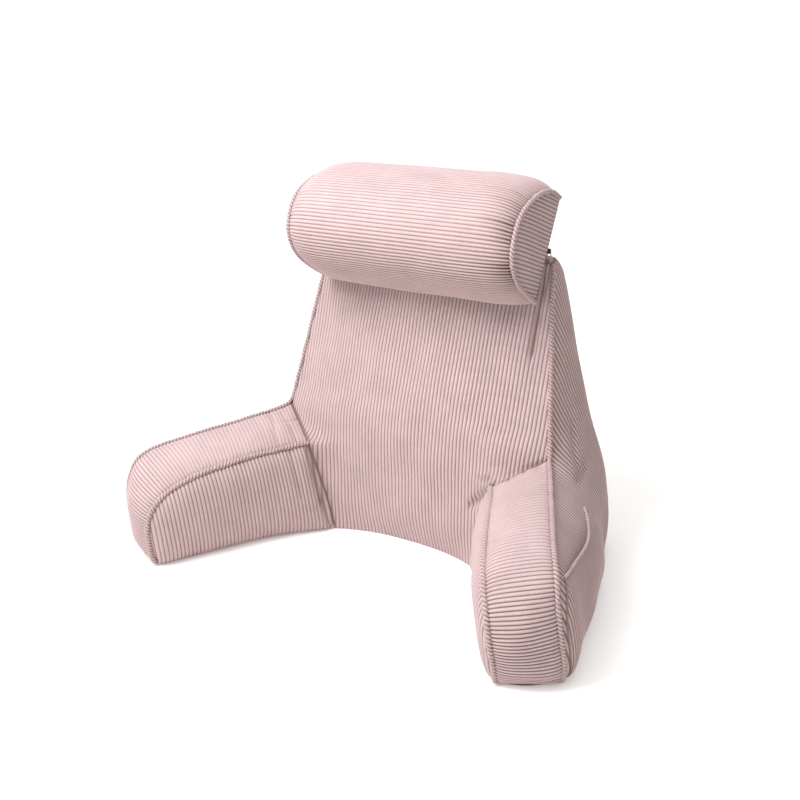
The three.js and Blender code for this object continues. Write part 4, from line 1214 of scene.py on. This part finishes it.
# ---- Thin sheets ----
def slab(name, front, thickness, material, wale=None, weave=None):
    """A closed sheet: a grid, the same grid moved back along its normals, and a wall round its rim."""
    rows, columns = front.shape[:2]
    normals = surface_normals(front)
    # A side that ends in a point has no slope of its own there, so its normal has no length, and it takes
    # the whole sheet's mean.
    lost = np.linalg.norm(normals, axis=-1) < 0.5
    normals[lost] = unit(normals[~lost].mean(0))
    back = front - normals * thickness
    index = np.arange(rows * columns).reshape(rows, columns)
    loop = np.concatenate([index[:-1, 0], index[-1, :-1], index[:0:-1, -1], index[0, :0:-1]])
    following = np.roll(loop, -1)
    shift = rows * columns
    triangles = np.concatenate([
        grid_triangles(rows, columns), grid_triangles(rows, columns)[:, ::-1] + shift,
        np.stack([loop, loop + shift, following + shift], -1),
        np.stack([loop, following + shift, following], -1)])
    points = np.concatenate([front.reshape(-1, 3), back.reshape(-1, 3)])
    if wale is not None:
        wale, weave = np.tile(wale, 2), np.tile(weave, (2, 1))
    return mesh_object(name, points, triangles, material, wale, weave)


def pocket_seam(rows, face, lifts):
    """A seam of the pocket: y and z rows laid on the arm's outer face, standing off it by the lifts."""
    rows = np.array(rows, float)
    flat = sewn(np.c_[np.zeros(len(rows)), rows[:, 0] + PATTERN_SHIFT, rows[:, 1]])
    points = flat.points.copy()
    points[:, 0] = face.level(points) + np.interp(flat.shares, np.linspace(0, 1, len(lifts)), lifts)
    return Seam(points)


POCKET_THICKNESS = 0.9
POCKET_LIFT = 1.6      # off the arm along its sewn edges
POCKET_MOUTH_LIFTS = (0, 2.5, 3.5, 2.5, 0)      # more than that, from the mouth's rear corner forwards
POCKET_LEAN = math.radians(12)      # of its wales, forwards from upright
POCKET_GATHERS = (0.5, 8.0)


def pocket_panel():
    """The pocket: a patch that follows the arm's outer face, with a swell inside its seams and another that
    falls off with the distance from its mouth as exp(-distance / reach)."""
    arm = outer_face("right")
    for name, rows in (("front", POCKET_FRONT), ("floor", POCKET_FLOOR), ("rear", POCKET_REAR)):
        SEAMS["pocket_" + name] = pocket_seam(rows, arm, [POCKET_LIFT, POCKET_LIFT])
    lifts = [POCKET_LIFT + more for more in POCKET_MOUTH_LIFTS]
    SEAMS["pocket_mouth"] = pocket_seam(POCKET_MOUTH, arm, lifts)
    mouth = SEAMS["pocket_mouth"].points[::4]
    sin, cos = math.sin(POCKET_LEAN), math.cos(POCKET_LEAN)
    swell, swell_edge, gape, gape_reach = 1.5, 5.0, 2.5, 14.0

    def mouth_distance(y, z):
        """How far the points are from the nearest sample of the mouth."""
        def nearest(y, z):
            return np.hypot(y[:, None] - mouth[:, 1], z[:, None] - mouth[:, 2]).min(1)
        return in_chunks(nearest, y, z)

    def shape(a, b, depth, base):
        y, z = a * cos - b * sin, a * sin + b * cos
        level = arm.level(np.stack([0 * y, y, z], -1))
        return (level + POCKET_LIFT + swell * rise(depth, swell_edge)
                + gape * np.exp(-mouth_distance(y, z) / gape_reach))
    face = Face([("pocket_front", True), ("pocket_floor", True), ("pocket_rear", True),
                 ("pocket_mouth", True)], [(0, cos, sin), (0, -sin, cos), (1, 0, 0)], shape)
    # Its grooves are painted wider and darker than the front's, as painted shade on the arm's side.
    return cut_panel(face, rows=30, spacing=0.80, gather=POCKET_GATHERS, seed=SEEDS["pocket"], crest_sharpness=3.5,
                     relief=0.7)


ZIP_HALF = 186.0
ZIP_COLUMNS = 187
FLAP_FOOT_Y = 59.0      # in the pattern, on the backrest's top
FLAP_HEAD = 494.0      # height of its upper edge, on the bolster's back


def bolster_back_y(fill, z):
    """The y of the bolster's flat back at a height, just behind its wales: along its lean from its foot,
    plus the back's swell by the sine of the share up, over the cosine of the lean."""
    up = (z - BOLSTER_FOOT[1]) / math.cos(BOLSTER_LEAN)
    hump = np.sin(math.pi * np.clip(up / BOLSTER_CHORD, 0, 1))
    bulge = BOLSTER_SWELL["back"] * fill * hump
    return BOLSTER_FOOT[0] + PATTERN_SHIFT + up * math.sin(BOLSTER_LEAN) + bulge / math.cos(BOLSTER_LEAN)


def settled(piece, nodes):
    """Puts a finished piece on the root body in place of its frame nodes."""
    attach(piece, "root")
    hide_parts(*nodes)
    return piece


# ---- Flap and zip ----
FLAP_THICKNESS, FLAP_WALE, FLAP_ROWS = 1.4, 0.5, 9
FLAP_OFF_TOP, FLAP_OFF_BACK = 1.0, 2.4      # how far its foot and head stand off the two covers
TAPE_FROM, TAPE_TO, TAPE_MIDDLE = 0.3, 5.3, 2.5      # heights above the flap's head
TAPE_OFF_BACK, TAPE_THICKNESS = 2.6, 0.8
TOOTH_STEP, TOOTH_HALF = 1.7, (0.55, 0.75, 1.1)
TEETH_FROM_END, TEETH_OFF_TAPE = 3, 0.5
TEETH_MIDDLE, TEETH_APART = 2.8, 0.5      # height above the flap's head, and every second tooth's shift
SLIDER_HALF, SLIDER_POWER = (4, 2, 4), 4
PULL_HALF_WIDTH, PULL_HALF_LENGTH, PULL_WIRE, PULL_POWER = 2.9, 4.3, 0.85, 0.45


def flap_piece(x):
    """The flap: straight lines from its foot on the backrest's top to its head on the bolster's back, with
    its wales raised along its normals."""
    foot_y = FLAP_FOOT_Y + PATTERN_SHIFT
    foot = top_face().level(np.stack([x, 0 * x + foot_y, 0 * x], -1)) + FLAP_OFF_TOP
    head = bolster_back_y(bolster_fill(x), 0 * x + FLAP_HEAD) + FLAP_OFF_BACK
    v = np.linspace(0, 1, FLAP_ROWS)
    phase = x / sizes_mm("wale_pitch")
    grid = np.stack([x[:, None] + 0 * v, foot_y + (head - foot_y)[:, None] * v,
                     foot[:, None] + (FLAP_HEAD - foot)[:, None] * v], -1)[::-1]
    profile = wale_height(phase)[::-1, None] + 0 * v
    grid = grid + surface_normals(grid) * (FLAP_WALE * profile)[..., None]
    weave = np.stack([phase[::-1, None] + 0 * v, 3 * v + 0 * phase[:, None]], -1).reshape(-1, 2)
    flap = slab("flap_strip", grid, FLAP_THICKNESS, corduroy("pillow_cloth"), profile.ravel(), weave)
    settled(flap, ["joining_flap"])


def zip_pieces(x):
    """The zip's tape, level rows one above another along the bolster's back, and its teeth, boxes in a row
    that stand in turn a little above and below its middle."""
    tape_y = bolster_back_y(bolster_fill(x), 0 * x + FLAP_HEAD + TAPE_MIDDLE) + TAPE_OFF_BACK
    z = np.linspace(FLAP_HEAD + TAPE_FROM, FLAP_HEAD + TAPE_TO, 4)
    tape = np.stack([x[:, None] + 0 * z, tape_y[:, None] + 0 * z, 0 * x[:, None] + z], -1)[::-1]
    number = np.arange(int(2 * (ZIP_HALF - TEETH_FROM_END) / TOOTH_STEP))
    tooth_x = -ZIP_HALF + TEETH_FROM_END + number * TOOTH_STEP
    tooth_z = FLAP_HEAD + TEETH_MIDDLE + np.where(number % 2, TEETH_APART, -TEETH_APART)
    centre = np.stack([tooth_x, np.interp(tooth_x, x, tape_y) + TEETH_OFF_TAPE, tooth_z], -1)
    corner = np.array([(i, j, k) for i in (-1, 1) for j in (-1, 1) for k in (-1, 1)], float)
    cube = np.array([(0, 1, 3), (0, 3, 2), (4, 6, 7), (4, 7, 5), (0, 4, 5), (0, 5, 1), (2, 3, 7), (2, 7, 6),
                     (0, 2, 6), (0, 6, 4), (1, 5, 7), (1, 7, 3)])
    nylon = hard("pillow_nylon", (0.46, 0.30, 0.30), 0.0, 0.45, 300.0)
    teeth = mesh_object("zip_teeth", (centre[:, None] + corner * TOOTH_HALF).reshape(-1, 3),
                        (cube + len(corner) * number[:, None, None]).reshape(-1, 3), nylon)
    strip = slab("zip_tape", tape, TAPE_THICKNESS, nylon)
    settled(strip, ["zip_chain"])
    settled(teeth, ["zip_chain"])


def slider_pieces():
    """The slider's rounded body, by the formula |x/a|^4 + |y/b|^4 + |z/c|^4 = 1, and its wire pull, a tube
    along a long loop, whose height goes as |cos|^0.45 of the turn."""
    low, high = (np.array(p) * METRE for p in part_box("zip_slider"))
    centre = np.array([(low[0] + high[0]) / 2, low[1] + SLIDER_HALF[1], high[2] - SLIDER_HALF[2]])
    u, v = np.meshgrid(np.linspace(0, 2 * math.pi, 33), np.linspace(-math.pi / 2, math.pi / 2, 17),
                       indexing="ij")
    way = np.stack([np.cos(v) * np.cos(u), np.cos(v) * np.sin(u), np.sin(v)], -1)
    way[:, [0, -1], :2] = 0
    way[-1] = way[0]
    size = (np.abs(way) ** SLIDER_POWER).sum(-1, keepdims=True) ** (-1 / SLIDER_POWER)
    steel = hard("pillow_steel", (0.46, 0.45, 0.45), 1.0, 0.3, 500.0)
    dark = hard("pillow_dark_steel", (0.10, 0.09, 0.09), 1.0, 0.3, 500.0)
    body = mesh_object("slider_body", (centre + way * size * SLIDER_HALF).reshape(-1, 3),
                       grid_triangles(*u.shape), dark)
    settled(body, ["zip_slider"])

    turn, angle = np.linspace(0, 2 * math.pi, 65), np.linspace(0, 2 * math.pi, 13)
    reach = PULL_HALF_LENGTH + PULL_HALF_WIDTH
    loop = np.stack([PULL_HALF_WIDTH * np.sin(turn), 0 * turn,
                     reach * np.sign(np.cos(turn)) * np.abs(np.cos(turn)) ** PULL_POWER], -1)
    tangent = unit(np.roll(loop[:-1], -1, 0) - np.roll(loop[:-1], 1, 0))
    tangent = np.concatenate([tangent, tangent[:1]])
    across = unit(np.cross(tangent, (0, 1, 0)))
    wire = tube(loop, PULL_WIRE, across, np.broadcast_to([0.0, 1.0, 0.0], loop.shape), angle)
    wire = wire + (centre[0], high[1] - PULL_WIRE, low[2] + PULL_HALF_LENGTH + PULL_HALF_WIDTH + PULL_WIRE)
    pull = mesh_object("slider_pull", wire.reshape(-1, 3), grid_triangles(*wire.shape[:2]), steel)
    settled(pull, ["zip_slider"])


# ---- Stage ----
AZIMUTH, ELEVATION = math.radians(31.8), math.radians(19.8)
CAMERA_PLACE = (0.7983, -1.3403, 0.8072)      # metres, its y from the pattern's own zero
LENS, SENSOR = 46.35, 36.0      # millimetres
FLOOR_HALF = 25
BACKDROP_AWAY, BACKDROP_HALF, BACKDROP_HEIGHT = 12, 14, 3
LIGHT_COLOUR, SKY_COLOUR, SKY_STRENGTH = (0.99, 1, 1.03), (1, 0.98, 0.94, 1), 0.22
# Name, the way it shines, power, and how wide the sky it comes from is, in degrees.
SUNS = (("overhead", (0.0, 0.25, -1.0), 2.4, 90), ("fill", (0.5, 0.85, 0.12), 1.5, 60))
SOFTBOX_PLACE, SOFTBOX_AIM, SOFTBOX_POWER, SOFTBOX_SIZE = (-0.4, -0.85, 1.5), (0, 0, 0.3), 24, 0.8


def stage_sheet(name, corners, material):
    """A flat four-cornered sheet of the stage."""
    mesh = bpy.data.meshes.new(name)
    mesh.from_pydata(corners, [], [(0, 1, 2, 3)])
    mesh.materials.append(material)
    piece = bpy.data.objects.new(name, mesh)
    bpy.context.scene.collection.objects.link(piece)


def stage_light(name, kind, power, place, way, **settings):
    """A lamp at a place, shining along a way."""
    lamp = bpy.data.lights.new(name, kind)
    lamp.energy, lamp.color = power, LIGHT_COLOUR
    for key, value in settings.items():
        setattr(lamp, key, value)
    light = bpy.data.objects.new(name, lamp)
    light.location = place
    light.rotation_euler = Vector(way).to_track_quat("-Z", "Y").to_euler()
    bpy.context.scene.collection.objects.link(light)


def make_stage():
    """A level floor, an upright backdrop far behind it as the camera looks, lights, sky and the camera."""
    scene = bpy.context.scene
    data = bpy.data.cameras.new("camera")
    data.sensor_width, data.lens = SENSOR, LENS
    camera = bpy.data.objects.new("camera", data)
    x, y, z = CAMERA_PLACE
    camera.location = (x, y + PATTERN_SHIFT * MILLIMETRE, z)
    camera.rotation_euler = (math.pi / 2 - ELEVATION, 0, AZIMUTH)
    scene.collection.objects.link(camera)
    scene.camera = camera

    pale = Nodes("floor")
    place = pale.add("TexCoord").outputs["Object"]
    noise = pale.add("TexNoise", {"Vector": place, "Scale": 3.0})
    colour = scene.pillow_colours.floor
    pale.link(pale.mix(noise.outputs["Fac"], [0.98 * c for c in colour], colour), "Base Color")
    pale.set(Roughness=0.9, Emission_Color=(1, 0.99, 0.97, 1), Emission_Strength=0.2)
    # The backdrop glows a little, so that it is as pale as the floor.
    wall = Nodes("backdrop")
    wall.set(Base_Color=(*colour, 1), Roughness=0.9, Emission_Color=(1, 1, 1, 1),
             Emission_Strength=0.6)
    half = FLOOR_HALF
    stage_sheet("floor", [(-half, -half, 0), (half, -half, 0), (half, half, 0), (-half, half, 0)],
                pale.material)
    foot = np.array([-math.sin(AZIMUTH), math.cos(AZIMUTH), 0]) * BACKDROP_AWAY
    aside = np.array([math.cos(AZIMUTH), math.sin(AZIMUTH), 0]) * BACKDROP_HALF
    up = (0, 0, BACKDROP_HEIGHT)
    stage_sheet("backdrop", [foot - aside, foot + aside, foot + aside + up, foot - aside + up],
                wall.material)

    world = bpy.data.worlds.new("world")
    world.use_nodes = True
    background = world.node_tree.nodes["Background"].inputs
    background["Color"].default_value, background["Strength"].default_value = SKY_COLOUR, SKY_STRENGTH
    scene.world = world
    for name, way, power, spread in SUNS:
        stage_light(name, "SUN", power, -2 * Vector(way), way, angle=math.radians(spread))
    way = Vector(SOFTBOX_AIM) - Vector(SOFTBOX_PLACE)
    stage_light("softbox", "AREA", SOFTBOX_POWER, SOFTBOX_PLACE, way, size=SOFTBOX_SIZE)
    scene.view_settings.view_transform = "Standard"


# ---- Operators ----
SIDES = {"right": (1, 1, 1), "left": (-1, 1, 1)}
CORD_OUT = (0.62, -0.78, 0.0)      # the way the backrest's corded edges point, on the right
# How far each cord's middle stands off its seam.
WELT_LIFTS = {"outer": 2.4, "inner": 2.6, "bolster": 2.0, "pocket": 0.8}
INNER_THICKER = 0.3      # than the outer welts' radius
BOLSTER_WELT_RADIUS, POCKET_WELT_RADIUS = 3.0, 2.1
BOLSTER_WELT_SHORT = 3.0      # of the bolster's upper back edge


class PILLOW_OT_backrest(bpy.types.Operator):
    """Makes the backrest's front, top and back"""
    bl_idname = "pillow.backrest"
    bl_label = "Backrest"

    def execute(self, context):
        cover = backrest_body().object("backrest_cover", corduroy("pillow_cloth"))
        settled(cover, ["backrest"])
        return {"FINISHED"}


class PILLOW_OT_arms(bpy.types.Operator):
    """Makes the two arms with the side panels that run up the backrest, and their corded edges"""
    bl_idname = "pillow.arms"
    bl_label = "Arms"

    def execute(self, context):
        cord, outer, inner = SEAMS["cord_r"], SEAMS["outer_r"], SEAMS["inner_r"]
        cord_out = np.broadcast_to(unit(np.array(CORD_OUT)), cord.points.shape)
        radius = sizes_mm("welt_radius")
        for side, flip in SIDES.items():
            body, panels = arm_body(side)
            cover = body.object("arm_cover_" + side, corduroy("pillow_cloth"), mirror=side == "left")
            settled(cover, ["arm_" + side])
            outer_out = outward(outer, [panels["outer"], panels["strip"]], "outer_r")
            inner_out = outward(inner, [panels["strip"], panels["inner"]], "inner_r")
            for name, parts, thick in (("outer", [(cord, cord_out), (outer, outer_out)], radius),
                                       ("inner", [(inner, inner_out)], radius + INNER_THICKER)):
                path, out = welt_path(parts, WELT_LIFTS[name])
                keep = path[:, 2] > radius
                welt = rope(f"{name}_cord_{side}", path[keep] * flip, out[keep] * flip, thick,
                            corduroy("pillow_welt"))
                settled(welt, [f"{name}_welt_{side}"])
        return {"FINISHED"}


class PILLOW_OT_bolster(bpy.types.Operator):
    """Makes the neck bolster and its corded edges"""
    bl_idname = "pillow.bolster"
    bl_label = "Bolster"

    def execute(self, context):
        body, panels = bolster_body()
        settled(body.object("bolster_cover", corduroy("pillow_cloth")), ["bolster"])
        seam = SEAMS["end_front_r"]
        out = outward(seam, [panels["wrap"], panels["end_right"]], "end_front_r")
        path, out = welt_path([(seam, out)], WELT_LIFTS["bolster"])
        keep = path[:, 1] < path[:, 1].max() - BOLSTER_WELT_SHORT
        for side, flip in SIDES.items():
            welt = rope("bolster_cord_" + side, path[keep] * flip, out[keep] * flip, BOLSTER_WELT_RADIUS,
                        corduroy("pillow_welt"))
            settled(welt, ["bolster_welt_" + side])
        return {"FINISHED"}


class PILLOW_OT_pocket(bpy.types.Operator):
    """Makes the pocket on the right arm and the cord along its mouth"""
    bl_idname = "pillow.pocket"
    bl_label = "Pocket"

    def execute(self, context):
        panel = pocket_panel()
        patch = slab("pocket_patch", panel.grid, POCKET_THICKNESS, corduroy("pillow_cloth"), panel.wale,
                     panel.weave)
        settled(patch, ["pocket_right"])
        mouth = SEAMS["pocket_mouth"]
        out = np.broadcast_to(np.array([1.0, 0, 0]), mouth.points.shape)
        path, out = welt_path([(mouth, out)], WELT_LIFTS["pocket"])
        welt = rope("pocket_cord", path, out, POCKET_WELT_RADIUS, corduroy("pillow_welt"))
        settled(welt, ["pocket_welt_right"])
        return {"FINISHED"}


class PILLOW_OT_zip(bpy.types.Operator):
    """Makes the flap that joins the bolster to the backrest, with its zip"""
    bl_idname = "pillow.zip"
    bl_label = "Flap and zip"

    def execute(self, context):
        x = np.linspace(-ZIP_HALF, ZIP_HALF, ZIP_COLUMNS)
        flap_piece(x)
        zip_pieces(x)
        slider_pieces()
        return {"FINISHED"}


class PILLOW_OT_stage(bpy.types.Operator):
    """Makes the floor, the backdrop, the lights and the camera"""
    bl_idname = "pillow.stage"
    bl_label = "Stage"

    def execute(self, context):
        make_stage()
        return {"FINISHED"}


class PILLOW_PT_panel(bpy.types.Panel):
    """Lists the pillow's parts"""
    bl_idname = "PILLOW_PT_panel"
    bl_label = "Backrest pillow"
    bl_space_type = "VIEW_3D"
    bl_region_type = "UI"
    bl_category = "Pillow"

    def draw(self, context):
        for settings in (context.scene.pillow_sizes, context.scene.pillow_colours):
            for name in settings.__annotations__:
                self.layout.prop(settings, name)
        for operator in OPERATORS:
            self.layout.operator(operator.bl_idname)


OPERATORS = [PILLOW_OT_stage, PILLOW_OT_backrest, PILLOW_OT_arms, PILLOW_OT_bolster, PILLOW_OT_pocket,
             PILLOW_OT_zip]
CLASSES = [PillowSizes, PillowColours, *OPERATORS, PILLOW_PT_panel]


def register():
    for cls in CLASSES:
        bpy.utils.register_class(cls)
    bpy.types.Scene.pillow_sizes = bpy.props.PointerProperty(type=PillowSizes)
    bpy.types.Scene.pillow_colours = bpy.props.PointerProperty(type=PillowColours)


def unregister():
    del bpy.types.Scene.pillow_colours
    del bpy.types.Scene.pillow_sizes
    for cls in reversed(CLASSES):
        bpy.utils.unregister_class(cls)


def main():
    register()
    bpy.ops.pillow.stage()
    bpy.ops.pillow.backrest()
    bpy.ops.pillow.arms()
    bpy.ops.pillow.bolster()
    bpy.ops.pillow.pocket()
    bpy.ops.pillow.zip()


if __name__ == "__main__":
    main()
